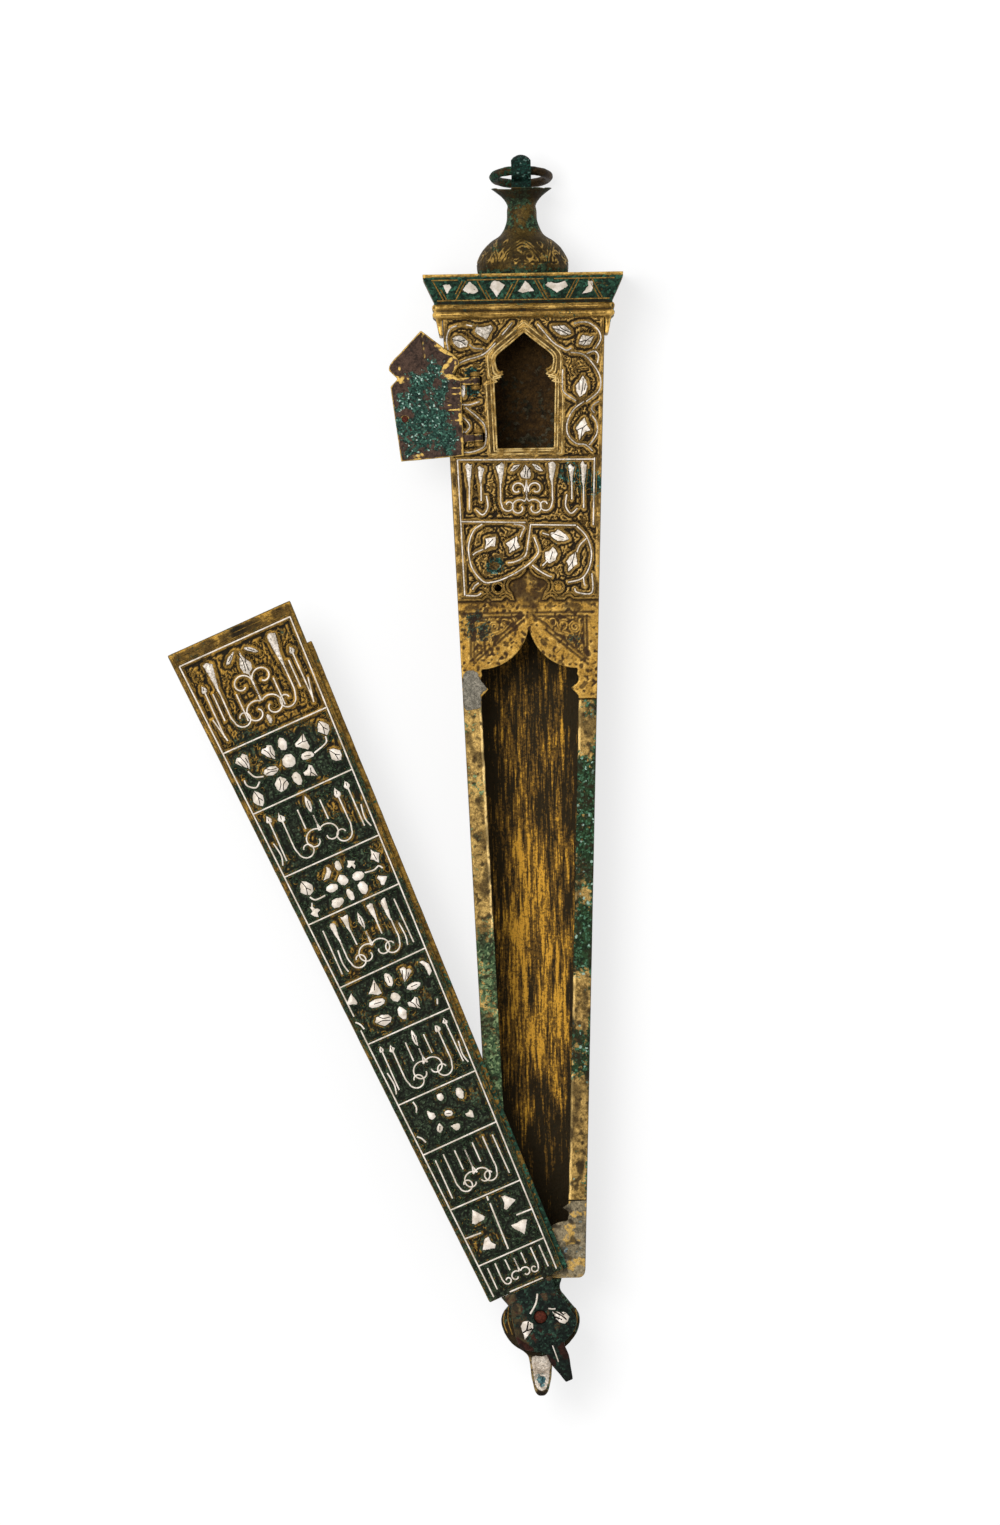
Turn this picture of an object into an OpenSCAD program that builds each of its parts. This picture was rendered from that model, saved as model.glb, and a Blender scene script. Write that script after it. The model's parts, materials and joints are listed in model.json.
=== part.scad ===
// Tapering bronze pen box with a swivelling lid, an ink compartment with a small door, and a carrying ring

/* [Trough] */
// Width across the trough at the collar end
wide_w = 37.2; // [36:0.2:38.4]
// Width across the trough at the tail end
tail_w = 20.5; // [19.5:0.1:21.5]
// Origin to the collar end of the trough
head_reach = 111.3; // [109:0.1:114]
// Origin to the tail end of the trough
tail_reach = 113; // [111:0.5:115]
// Height of the trough walls below the rim plates
wall_h = 22; // [21:0.5:24]
// Thickness of the trough walls
wall_t = 1.8; // [1.4:0.1:2.2]
// Thickness of the trough floor
floor_t = 1.6; // [1.2:0.1:2.2]
// Chamfer along the two long back edges
back_chamfer = 1; // [0.5:0.1:1.4]

/* [Rim plates] */
// Thickness of the arch plate, rails and tail plate
rim_t = 1.4; // [1.1:0.1:1.8]
// Width of each rail
rail_w = 4.2; // [3.8:0.1:4.6]
// Gap left at each seam between rim plates
seam = 0.15; // [0.1:0.05:0.3]
// Length of the tail plate
tail_plate_len = 17.4; // [16:0.2:19]
// Length of the arch plate below the cover
arch_len = 22.5; // [22:0.1:24]
// Length of the arch plate that runs under the cover
arch_lap = 11.2; // [9:0.2:13]

/* [Cover and window] */
// Thickness of the cover plate
cover_t = 1.4; // [1.1:0.1:1.8]
// Length of the cover plate
cover_len = 63.5; // [62:0.5:65]
// Cover edge at the collar to the window's point
window_drop = 3.3; // [2.8:0.1:4]
// Height of the ogee window
window_h = 26; // [24:0.5:27]
// Half width of the window at its jambs
window_half = 6.6; // [6:0.1:7]
// Radius of the rivets in the cover's lobes
cover_rivet_r = 0.8; // [0.6:0.05:1]

/* [Door] */
// How far the door laps the window all round
door_lap = 1.1; // [0.8:0.1:1.4]
// Thickness of the door
door_t = 1.2; // [0.9:0.1:1.5]
// Hinge edge of the door to the hinge axis
hinge_reach = 3.2; // [2.8:0.1:3.8]
// Radius of the hinge pins
hinge_pin_r = 0.55; // [0.45:0.05:0.65]
// Length of each door knuckle
knuckle_len = 1.8; // [1.5:0.1:2.4]
// Radius of the door's pull knob
knob_r = 1.6; // [1.2:0.1:2]

/* [Collar and finial] */
// Thickness of the end plate
end_t = 2; // [1.6:0.1:2.6]
// Length of the flared part of the collar
flare_len = 6.6; // [6:0.1:7.4]
// Length of the collar's beaded moulding
mould_len = 3.4; // [3.2:0.1:4]
// Length of the collar's lower flanks
flank_len = 3.8; // [3:0.1:4.4]
// How far the collar's rim stands out from the body
rim_out = 3.9; // [3.4:0.1:4.5]
// Length of the finial from the rim to its lip
finial_len = 19.4; // [18:0.2:21]
// Largest radius of the finial's bulb
finial_r = 10.4; // [9.6:0.1:10.8]
// Height of the finial's axis above the back
finial_z = 13.6; // [13:0.1:14]
// Thickness of the suspension lug
lug_t = 4.5; // [4:0.1:5]
// Radius of the lug's rounded top
lug_r = 3.6; // [3.3:0.1:3.9]
// Radius of the ring at the middle of its wire
ring_r = 6.2; // [5.9:0.1:6.4]
// Radius of the ring's wire
ring_wire_r = 1.1; // [0.9:0.05:1.15]
// Lean of the hanging ring towards the box, in degrees
ring_lean = 12.6; // [0:0.2:25]

/* [Bird heads] */
// Half width of the lower head across its cheeks
head_half = 8.7; // [8.2:0.1:9.2]
// Pivot to the tip of the lower beak
beak_reach = 18; // [17:0.2:19]
// Half width of the lid's head across its cheeks
lid_head_half = 7.1; // [6.7:0.1:7.6]
// Pivot to the tip of the lid's beak
lid_beak_reach = 15.9; // [15:0.1:16.6]

/* [Lid] */
// Angle of the lid from its closed place, in degrees
lid_open = 23.4; // [0:0.2:90]
// Thickness of the lid plate
lid_t = 1.5; // [1.2:0.1:2]
// How far the lid laps over the cover
lid_lap = 8.8; // [7:0.2:10]
// How far the lid plate stays inside the body's sides
lid_inset = 1.1; // [0.9:0.05:1.4]
// Width of the runners below the lid
runner_w = 3; // [2.6:0.1:3.4]
// Free space between the lid and what it slides over
slide_gap = 0.15; // [0.1:0.05:0.25]
// Tail end of the trough to the lid's pivot
pivot_reach = 8.5; // [8:0.1:9.2]
// Radius of the pivot rivet's shank
pivot_r = 1; // [0.8:0.05:1.2]
// Radius of the pivot rivet's visible head
pivot_head_r = 1.45; // [1.3:0.05:1.6]

/* [Silver inlay] */
// Thickness of the silver sheet
inlay_t = 0.15; // [0.1:0.01:0.2]
// Width of the silver lines
line_w = 0.48; // [0.4:0.02:0.6]

/* [Hidden] */
$fn = 64;

// Clearance of pieces that are fixed in one another
fit = 0.05;
// Radial clearance of turning pins
run = 0.04;

// Heights of the stacked plates
rim_z = wall_h + rim_t;
cover_z = rim_z + cover_t;
runner_z = rim_z + slide_gap;
lid_z = cover_z + inlay_t + 2 * slide_gap;
lid_top = lid_z + lid_t;

// Stations along the box
rim_y = head_reach + end_t;
mould_y1 = rim_y - flare_len;
mould_y0 = mould_y1 - mould_len;
flank_y = mould_y0 - flank_len;
cover_y1 = mould_y0 - fit;
cover_y0 = cover_y1 - cover_len;
window_y1 = cover_y1 - window_drop;
window_y0 = window_y1 - window_h;
arch_y1 = cover_y0 + arch_lap;
arch_y0 = cover_y0 - arch_len;
tail_plate_y = tail_plate_len - tail_reach;
pivot_y = -tail_reach - pivot_reach;
part_t = 1.6;
part_y = window_y0 - 4;

// Half width of the body at a station, and the turn of its sides
body_slope = (wide_w - tail_w) / 2 / (head_reach + tail_reach);
function half_w(y) = tail_w / 2 + body_slope * (y + tail_reach);
side_turn = atan(body_slope);

// Points of an arc
function arc(c, r, a0, a1, n = 10) = [
    for (i = [0:n]) let (a = a0 + (a1 - a0) * i / n) c + r * [cos(a), sin(a)]
];
// A right half outline, from its point on the axis, and its mirror image
function both(half) = concat(
    half,
    [for (i = [len(half) - 1:-1:0]) if (half[i].x > 0.001) [-half[i].x, half[i].y]]
);
// Smooth curve through points, with a few steps from each to the next
function bend(a, b, c, d, t) = 0.5 * (2 * b + (c - a) * t
    + (2 * a - 5 * b + 4 * c - d) * t * t + (3 * b - a - 3 * c + d) * t * t * t);
function smooth(p, n = 4) = concat(
    [for (i = [0:len(p) - 2]) for (k = [0:n - 1])
        bend(p[max(i - 1, 0)], p[i], p[i + 1], p[min(i + 2, len(p) - 1)], k / n)],
    [p[len(p) - 1]]
);

// Plan of the body between two stations, drawn in from its sides
module plan(y0, y1, inset) {
    polygon([
        [inset - half_w(y0), y0], [half_w(y0) - inset, y0],
        [half_w(y1) - inset, y1], [inset - half_w(y1), y1]
    ]);
}

// Slab between two heights with the plan given as a child
module slab(z0, z1) {
    translate([0, 0, z0]) linear_extrude(z1 - z0) children();
}

// Side profile with y to the right and z up, run across the box
module across(w) {
    rotate([90, 0, 90]) translate([0, 0, -w / 2]) linear_extrude(w) children();
}

// Trough

module trough() {
    run_len = head_reach + tail_reach;
    color("#8a6420")
    difference() {
        union() {
            slab(0, wall_h) plan(-tail_reach, head_reach, 0);
            slab(0, rim_z) plan(arch_y1 + seam, head_reach, 0);
        }
        slab(floor_t, rim_z + 1) plan(wall_t - tail_reach, head_reach + 1, wall_t);
        for (s = [-1, 1])
            translate([s * tail_w / 2, -tail_reach, 0])
                rotate([0, 0, -s * side_turn])
                rotate([0, 45, 0])
                cube([back_chamfer * sqrt(2), 3 * run_len, back_chamfer * sqrt(2)], center = true);
    }
}

module end_plate() {
    w = 2 * (half_w(head_reach) - fit);
    color("#6f5323")
    difference() {
        translate([-w / 2, head_reach, 0]) cube([w, end_t, rim_z - fit]);
        translate([0, head_reach - 1, finial_z])
            rotate([-90, 0, 0]) cylinder(r = finial_tenon_r + fit, h = end_t + 2);
    }
}

module ink_partition() {
    color("#6b5127")
    slab(floor_t, rim_z) plan(part_y - part_t / 2, part_y + part_t / 2, wall_t + fit);
}

well_t = 1;
well_y0 = part_y + part_t / 2 + 0.2;
well_y1 = head_reach - 0.8;

module ink_well() {
    color("#3a2c18")
    difference() {
        slab(floor_t, rim_z - 0.4) plan(well_y0, well_y1, wall_t + 2 * fit);
        slab(floor_t + well_t, rim_z)
            plan(well_y0 + well_t, well_y1 - well_t, wall_t + 2 * fit + well_t);
    }
}

// Rim plates round the mouth of the pen trough

jamb_half = half_w(arch_y0) - rail_w;
// The arch: two arcs that meet in a point, then a lobe, a nib and the jamb on each side
arch_r = jamb_half + 0.1;
arch_shoulder_y = arch_y0 + 7;
arch_half = concat(
    [for (p = arc([arch_r - 0.1, arch_shoulder_y + arch_r], arch_r, 180 + asin(0.18), 270))
        [max(p.x, 0), p.y]],
    arc([jamb_half - 1.5, arch_shoulder_y - 2.3], 1.6, 40, -40, 4),
    [[jamb_half - 1.7, arch_y0 + 2.6], [jamb_half, arch_y0 + 0.9], [jamb_half, arch_y0 - 1]]
);

module arch_plate() {
    color("#b08a3c")
    difference() {
        slab(wall_h, rim_z)
        difference() {
            plan(arch_y0 + seam, arch_y1, 0);
            polygon(both(arch_half));
        }
        lobe_holes(wall_h - 1, rim_z + 1);
    }
}

module rail(side) {
    y0 = tail_plate_y + seam;
    slab(wall_h, rim_z)
    polygon([
        [side * half_w(y0), y0], [side * half_w(arch_y0), arch_y0],
        [side * (half_w(arch_y0) - rail_w), arch_y0], [side * (half_w(y0) - rail_w), y0]
    ]);
}

module left_rail() {
    color("#9b8450") rail(-1);
}

module right_rail() {
    color("#6d7a52") rail(1);
}

// The tail end of the mouth: nib, lobe and a pointed end, smaller than the arch
tail_jamb = half_w(tail_plate_y) - rail_w;
tail_shoulder_y = tail_plate_y - 4.4;
tail_half = concat(
    [for (p = arc([tail_jamb - 0.2, tail_shoulder_y - tail_jamb], tail_jamb, 180 - asin(0.2), 90, 8))
        [max(p.x, 0), p.y]],
    arc([tail_jamb - 1.2, tail_shoulder_y + 1.4], 1.2, -40, 40, 4),
    [[tail_jamb - 1.5, tail_plate_y - 1.6], [tail_jamb, tail_plate_y - 0.6], [tail_jamb, tail_plate_y + 1]]
);

module tail_plate() {
    color("#a39b84")
    slab(wall_h, rim_z)
    difference() {
        plan(-tail_reach, tail_plate_y, 0);
        polygon(both(tail_half));
    }
}

// Cover with its window and lobed edge

// Right half of the window, made larger all round by a lap
function window_outline(lap) = let (j = window_half + lap, s = window_y0 + 17.1) both(concat(
    smooth([
        [0, window_y1 + 1.3 * lap], [2.4 + 0.65 * lap, s + 6.85 + 0.75 * lap],
        [j - 1.5 - 0.25 * lap, s + 4.7 + 0.65 * lap], [j - 0.35, s + 3.5 + 0.3 * lap], [j - 0.2, s + 2.2]
    ], 3),
    arc([j - 1.9, s + 1.6 - lap], 1.5, 0, -80, 4),
    [[j - 1.9 - 0.2 * lap, s - 0.2 - lap], [j + 0.2, s - 0.8 - lap], [j - 0.35, window_y0 - 1.2 * lap]]
));

// Door: straight-sided point, and a nick below each shoulder
function door_outline() = let (j = window_half + door_lap, s = window_y0 + 17.1) both(concat(
    [[0, window_y1 + door_lap + 0.6]],
    smooth([[j - 2.4, s + 5.8], [j - 1.1, s + 4.7], [j + 0.1, s + 3.3], [j + 0.3, s + 2.2]], 3),
    [[j - 1.5, s + 0.2], [j + 0.3, s - 1.4], [j - 0.6, window_y0 - 1.2 * door_lap]]
));

// Right half of the lobed lower edge's middle opening
trefoil_half = concat(
    arc([3.6, cover_y0 + 8.2], 3.55, 180, 265, 6),
    arc([3, cover_y0 + 3.25], 1.45, 60, -60, 6),
    [[3, cover_y0], [3, cover_y0 - 1]]
);
lobe_at = [6.8, cover_y0 + 2.8];

module lobe_holes(z0, z1) {
    for (s = [-1, 1])
        translate([s * lobe_at.x, lobe_at.y, z0])
            cylinder(r = cover_rivet_r + fit / 2, h = z1 - z0);
}

hinge_x = -(window_half + door_lap + hinge_reach);
hinge_z = cover_z + inlay_t + 0.1 + door_t / 2;
hinge_ys = [window_y0 + 15.3, window_y0 + 2.5];
hinge_mid = (hinge_ys[0] + hinge_ys[1]) / 2;
knuckle_r = hinge_pin_r + run + 0.5;
eye_t = 0.9;
eye_gap = 0.15;

// Place on the hinge line, which runs along the box's left side
module on_hinge(y) {
    translate([hinge_x, hinge_mid, 0]) rotate([0, 0, side_turn]) translate([0, y - hinge_mid, 0]) children();
}

module cover_plate() {
    slot = [3, knuckle_len + 2 * eye_gap];
    color("#4d3d1f")
    difference() {
        slab(rim_z, cover_z)
        difference() {
            plan(cover_y0, cover_y1, fit);
            polygon(window_outline(0));
            polygon(both(trefoil_half));
            for (s = [-1, 1])
                for (x = [5, 9.2])
                    translate([s * x, cover_y0 - 0.25]) circle(r = 0.9);
            for (y = hinge_ys)
                on_hinge(y) square(slot, center = true);
        }
        lobe_holes(rim_z - 1, cover_z + 1);
    }
}

module cover_rivet() {
    color("#6a4a20")
    translate([lobe_at.x, lobe_at.y, 0]) {
        translate([0, 0, wall_h - 0.8]) cylinder(r = 1.8 * cover_rivet_r, h = 0.8);
        translate([0, 0, wall_h - 0.4]) cylinder(r = cover_rivet_r, h = cover_z - wall_h + 0.4);
    }
}

// Door of the ink compartment, drawn closed and turned open about its hinge

module opened_door() {
    translate([hinge_x, hinge_mid, hinge_z])
    rotate([0, 0, side_turn]) rotate([0, 180, 0]) rotate([0, 0, -side_turn])
    translate([-hinge_x, -hinge_mid, -hinge_z]) children();
}

module hinge_eyes() {
    color("#8f7434")
    for (y = hinge_ys)
        for (s = [-1, 1])
            on_hinge(y + s * (knuckle_len / 2 + eye_gap + eye_t / 2))
            rotate([90, 0, 0])
            translate([0, 0, -eye_t / 2])
            difference() {
                union() {
                    translate([0, hinge_z]) cylinder(r = knuckle_r, h = eye_t);
                    translate([-knuckle_r, cover_z]) cube([2 * knuckle_r, hinge_z - cover_z, eye_t]);
                }
                translate([0, hinge_z, -1]) cylinder(r = hinge_pin_r + fit / 2, h = eye_t + 2);
                translate([-2 * knuckle_r, rim_z, -1]) cube([4 * knuckle_r, cover_t, eye_t + 2]);
            }
}

module hinge_pins() {
    pin_len = knuckle_len + 2 * (eye_gap + eye_t) + 0.3;
    color("#b9953f")
    for (y = hinge_ys)
        on_hinge(y - pin_len / 2)
            translate([0, 0, hinge_z]) rotate([-90, 0, 0]) cylinder(r = hinge_pin_r, h = pin_len);
}

knob_at = [window_half - 1.2, window_y0 + 8.1];
knob_shank_r = 0.7;

module ink_door() {
    color("#5b4034")
    opened_door()
    difference() {
        union() {
            slab(hinge_z - door_t / 2, hinge_z + door_t / 2) polygon(door_outline());
            for (y = hinge_ys)
                on_hinge(y - knuckle_len / 2) translate([0, 0, hinge_z]) {
                    rotate([-90, 0, 0]) cylinder(r = knuckle_r, h = knuckle_len);
                    translate([0, 0, -door_t / 3]) cube([hinge_reach + 1.5, knuckle_len, 2 * door_t / 3]);
                }
        }
        for (y = hinge_ys)
            on_hinge(y - knuckle_len)
                translate([0, 0, hinge_z]) rotate([-90, 0, 0]) cylinder(r = hinge_pin_r + run, h = 2 * knuckle_len);
        translate([knob_at.x, knob_at.y, hinge_z - door_t])
            cylinder(r = knob_shank_r + fit / 2, h = 2 * door_t);
    }
}

module door_knob() {
    color("#7a3b22")
    opened_door()
    translate([knob_at.x, knob_at.y, hinge_z - door_t / 2]) {
        cylinder(r = knob_shank_r, h = door_t + 0.4);
        translate([0, 0, door_t])
        rotate_extrude()
        polygon(concat(
            [[0, 0], [knob_r * 0.62, 0], [knob_r * 0.55, 0.5]],
            arc([0, 0.5], knob_r, 8, 82, 6),
            [[0, 0.5 + knob_r]]
        ));
    }
}

// Collar, end and finial

mould_out = 1.5;
flank_out = 0.9;
mould_z = cover_z + 0.9;
rim_top_z = mould_z + 2.6;
rim_lip = 0.9;
bead_r = 0.72;

module collar() {
    half = [
        [half_w(flank_y) + flank_out, flank_y],
        [half_w(mould_y0) + mould_out, mould_y0],
        [half_w(mould_y1) + mould_out, mould_y1],
        [half_w(rim_y) + rim_out, rim_y - rim_lip],
        [half_w(rim_y) + rim_out, rim_y]
    ];
    side = [
        [flank_y, 0], [rim_y, 0], [rim_y, rim_top_z], [rim_y - rim_lip, rim_top_z],
        [mould_y1, mould_z], [mould_y0, mould_z], [mould_y0, cover_z + 0.3], [flank_y, cover_z + 0.3]
    ];
    color("#8a6a2a")
    difference() {
        union() {
            intersection() {
                slab(0, 2 * rim_top_z) polygon(both(half));
                across(4 * wide_w) polygon(side);
            }
            for (k = [0, 1])
                let (y = mould_y0 + mould_len * (0.26 + 0.48 * k), x = half_w(y) + mould_out) {
                    translate([-x, y, mould_z]) rotate([0, 90, 0]) cylinder(r = bead_r, h = 2 * x);
                    for (s = [-1, 1])
                        translate([s * x, y, 0]) cylinder(r = bead_r, h = mould_z + 0.3);
                }
        }
        slab(-1, rim_z) plan(flank_y - 1, rim_y + 1, -fit);
        slab(-1, 3 * rim_z) plan(flank_y - 1, mould_y0, -fit);
    }
}

finial_tenon_r = 3;
lug_tenon_r = 1.6;
lug_h = 1.4 * lug_r;
lug_foot_r = norm([lug_t, lug_h]) / 2 + fit;
dish_depth = 1.3;
// Profile of the finial as shares of its length and its largest radius
finial_shape = [
    [0.98, 0], [1, 0.14], [0.875, 0.285], [0.69, 0.385], [0.465, 0.47], [0.35, 0.6],
    [0.325, 0.74], [0.315, 0.81], [0.43, 0.9], [0.665, 1]
];

module finial() {
    bore_y = finial_len - dish_depth - 3;
    color("#6e5a2c")
    translate([0, rim_y, finial_z])
    rotate([-90, 0, 0])
    difference() {
        union() {
            rotate_extrude()
            polygon(concat(
                [[0, 0]],
                [for (p = smooth(finial_shape, 3)) [p.x * finial_r, p.y * finial_len]],
                [[0.6 * finial_r, finial_len + 0.15], [lug_foot_r, finial_len - dish_depth],
                 [0, finial_len - dish_depth]]
            ));
            translate([0, 0, -end_t - 0.3]) cylinder(r = finial_tenon_r, h = end_t + 1);
        }
        translate([0, 0, bore_y]) cylinder(r = lug_tenon_r + fit / 2, h = finial_len);
    }
}

lug_y0 = rim_y + finial_len - dish_depth;
lug_eye_y = lug_y0 + 1.5 * lug_r;
// The ring's wire bends inside the eye, so the hole leaves room for that bend
ring_sag = ring_r - sqrt(ring_r * ring_r - lug_t * lug_t / 4);
lug_hole_r = ring_wire_r + ring_sag / 2 + 0.24;

module suspension_lug() {
    color("#2f4f47")
    difference() {
        union() {
            translate([-lug_t / 2, lug_eye_y, finial_z]) rotate([0, 90, 0]) cylinder(r = lug_r, h = lug_t);
            translate([-lug_t / 2, lug_y0, finial_z - lug_h / 2])
                cube([lug_t, lug_eye_y - lug_y0, lug_h]);
            translate([0, lug_y0 - 2.8, finial_z]) rotate([-90, 0, 0]) cylinder(r = lug_tenon_r, h = 3.4);
        }
        translate([-lug_t, lug_eye_y, finial_z]) rotate([0, 90, 0]) cylinder(r = lug_hole_r, h = 2 * lug_t);
    }
}

module suspension_ring() {
    color("#3d2c18")
    translate([0, lug_eye_y, finial_z])
    rotate([-ring_lean, 0, 0])
    translate([0, 0, ring_sag / 2 - ring_r])
    rotate([90, 0, 0])
    rotate_extrude() translate([ring_r, 0]) circle(r = ring_wire_r);
}

// Bird heads and the pivot between them

head_crown_r = 12;
// Shares of a head's half width and of its beak's reach, made a smooth half plan from the neck to the tip
function head_plan(neck, shares, w, l) =
    smooth(concat([[neck.x * w, neck.y]], [for (p = shares) [p.x * w, p.y * l]]), 3);
tail_head_half = head_plan([0.575, pivot_reach], [
    [0.52, 0.33], [0.735, 0.19], [1, 0.02], [0.99, -0.145], [0.76, -0.335], [0.39, -0.465], [0.31, -0.555],
    [0.255, -0.78], [0.17, -0.945], [0.07, -1]
], head_half, beak_reach);
// Depth of the lower head below the rim, under the pivot
head_depth = head_crown_r - 0.6;
beak_drop = [0.6, 1.2];
beak_root = beak_reach / 2;
tail_head_side = [
    [pivot_reach, rim_z - 1.4 * head_depth], [5, rim_z - 1.2 * head_depth], [2.8, rim_z - head_depth],
    [-5, rim_z - 0.95 * head_depth], [-beak_root, rim_z - 5.9],
    [1 - beak_reach, rim_z - 3.4], [-beak_reach, rim_z - 2.6], [-beak_reach, rim_z - beak_drop[1]],
    [-beak_root, rim_z - beak_drop[0]], [1 - beak_root, rim_z], [pivot_reach, rim_z]
];

// Round bar along a head, which rounds its crown and cheeks
module crown(z) {
    translate([0, 2 * beak_reach, z]) rotate([90, 0, 0]) cylinder(r = head_crown_r, h = 4 * beak_reach);
}

module tail_bird_head() {
    color("#55501f")
    translate([0, pivot_y, 0])
    difference() {
        intersection() {
            slab(0, rim_z) polygon(both(tail_head_half));
            across(4 * head_half) polygon(tail_head_side);
            crown(rim_z + 0.5);
        }
        cylinder(r = pivot_r + fit / 2, h = 2 * rim_z);
    }
}

lid_head_top = lid_top + 1.2;
lid_neck_r = pivot_reach - 0.9;
lid_head_plan = head_plan([0.9, lid_neck_r], [
    [0.775, 0.29], [0.875, 0.1], [1, -0.15], [0.97, -0.3], [0.65, -0.415], [0.35, -0.48], [0.325, -0.66],
    [0.21, -0.85], [0.125, -1]
], lid_head_half, lid_beak_reach);
lid_head_side = [
    [lid_neck_r, runner_z], [1 - lid_beak_reach, runner_z], [-lid_beak_reach, runner_z + 0.5],
    [-lid_beak_reach, runner_z + 1.2],
    [-8, lid_z + 0.9], [-5, lid_head_top - 0.2], [-2, lid_head_top], [2, lid_head_top],
    [5, lid_top], [lid_neck_r, lid_top]
];
eye_at = [3.95, -1.3];
eye_r = 1.25;
eye_sink = 0.9;
eye_top = lid_head_top - 0.55;

// Places a child, drawn with the lid closed and the pivot at the origin, at the opened lid
module on_lid() {
    translate([0, pivot_y, 0]) rotate([0, 0, lid_open]) children();
}

module lid_bird_head() {
    color("#26382e")
    on_lid()
    difference() {
        intersection() {
            slab(runner_z, lid_head_top) polygon(both(lid_head_plan));
            across(4 * head_half) polygon(lid_head_side);
            crown(lid_head_top - head_crown_r + 0.1);
        }
        translate([0, 0, rim_z]) cylinder(r = pivot_r + run, h = lid_t + 10);
        translate([0, 0, lid_head_top - 0.8]) cylinder(r = pivot_head_r + run, h = 5);
        for (s = [-1, 1])
            translate([s * eye_at.x, eye_at.y, eye_top - eye_sink]) cylinder(r = eye_r + fit / 2, h = 5);
    }
}

module lid_eye_inlay() {
    color("#dfd3cf")
    on_lid()
    for (s = [-1, 1])
        translate([s * eye_at.x, eye_at.y, eye_top - eye_sink]) cylinder(r = eye_r, h = eye_sink);
}

module pivot_rivet() {
    foot_z = rim_z - head_depth - fit;
    head_z = lid_head_top - 0.8 + run;
    color("#6b2f20")
    translate([0, pivot_y, 0]) {
        translate([0, 0, foot_z - 0.7]) cylinder(r = 1.8 * pivot_r, h = 0.7);
        translate([0, 0, foot_z - 0.3]) cylinder(r = pivot_r, h = head_z - foot_z + 0.5);
        translate([0, 0, head_z])
        rotate_extrude() polygon([
            [0, 0], [pivot_head_r, 0], [pivot_head_r, 0.6], [0.7 * pivot_head_r, 0.95], [0, 1.1]
        ]);
    }
}

// Lid

lid_r0 = lid_neck_r;
lid_r1 = cover_y0 - pivot_y + lid_lap;
runner_r1 = cover_y0 - pivot_y - 1.4;
function lid_half(r) = half_w(pivot_y + r) - lid_inset;

module lid_plate() {
    color("#3a3319")
    on_lid()
    slab(lid_z, lid_top)
    polygon([
        [-lid_half(lid_r0), lid_r0], [lid_half(lid_r0), lid_r0],
        [lid_half(lid_r1), lid_r1], [-lid_half(lid_r1), lid_r1]
    ]);
}

module runner(side, out) {
    on_lid()
    slab(runner_z, lid_z)
    polygon([for (p = [[lid_r0, out], [runner_r1, out], [runner_r1, out - runner_w], [lid_r0, out - runner_w]])
        [side * (lid_half(p.x) + p.y), p.x]]);
}

module lid_left_runner() {
    color("#4a4426") runner(-1, 0);
}

module lid_right_runner() {
    color("#6a5a30") runner(1, lid_inset);
}

// Silver inlay

module sheet(z) {
    translate([0, 0, z]) linear_extrude(inlay_t) children();
}

// Straight line between two points
module line(a, b) {
    v = b - a;
    translate(a) rotate(atan2(v.y, v.x)) translate([0, -line_w / 2]) square([norm(v), line_w]);
}

// Leaf from its stalk at the origin to its tip
module leaf(l, w) {
    polygon(both(smooth([[0.01, 0], [w * 0.38, l * 0.2], [w * 0.5, l * 0.5], [w * 0.25, l * 0.8], [0, l]], 2)));
}

// Upright stem with a bud, the motif of the ornament panels
module stem(h, w) {
    polygon(both([[w * 0.5, 0], [w * 0.5, h * 0.66], [w * 1.2, h * 0.82], [0, h]]));
}

module panel_row(w, h, pitch) {
    n = floor((w - 0.9) / pitch);
    for (k = [-n:n])
        translate([k * pitch, 0]) stem(h * (abs(k) % 2 == 0 ? 0.72 : 0.52), 0.62);
}

module collar_inlay() {
    slope = atan2(rim_top_z - mould_z, flare_len - rim_lip);
    face = norm([rim_top_z - mould_z, flare_len - rim_lip]);
    h = 0.52 * face;
    color("#dfd3cf")
    translate([0, mould_y1, mould_z])
    rotate([slope, 0, 0])
    linear_extrude(inlay_t)
    for (k = [0:5])
        translate([(k - 2.5) * 6.3, 0.25 * face + (k % 2 == 0 ? h : 0)])
            polygon(both([[0, k % 2 == 0 ? -h : h], [1.9, 0]]));
}

// Stations of the lines that divide the lid, from the pivot, as shares of its length
lid_marks = [for (r = [166.7, 144.8, 129.6, 113.8, 101.8, 86, 71.8, 56.5, 44, 30.2, 16.1, 8.4])
    lid_r0 + (r - 7.6) / 162.5 * (lid_r1 - lid_r0)];
side_line = 1.4;
function lid_line_x(r) = lid_half(r) - side_line;

module lid_line_inlay() {
    r0 = lid_marks[11];
    r1 = lid_marks[0];
    color("#dfd3cf")
    on_lid()
    sheet(lid_top) {
        for (s = [-1, 1])
            line([s * lid_line_x(r0), r0], [s * lid_line_x(r1), r1]);
        for (r = lid_marks)
            line([-lid_line_x(r), r], [lid_line_x(r), r]);
    }
}

module lid_rosette_inlay() {
    color("#dfd3cf")
    on_lid()
    sheet(lid_top)
    for (k = [1, 3, 5, 7]) {
        mid = (lid_marks[k] + lid_marks[k + 1]) / 2;
        size = (lid_marks[k] - lid_marks[k + 1]) * 0.4;
        translate([0, mid]) {
            circle(r = 0.2 * size);
            for (i = [0:7])
                rotate(45 * i) translate([0, 0.36 * size]) leaf(0.6 * size, 0.42 * size);
            for (s = [-1, 1])
                translate([s * (lid_line_x(mid) - line_w - 0.5 * size), 0])
                    rotate(-90 * s) leaf(0.5 * size, 0.3 * size);
        }
    }
}

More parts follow.
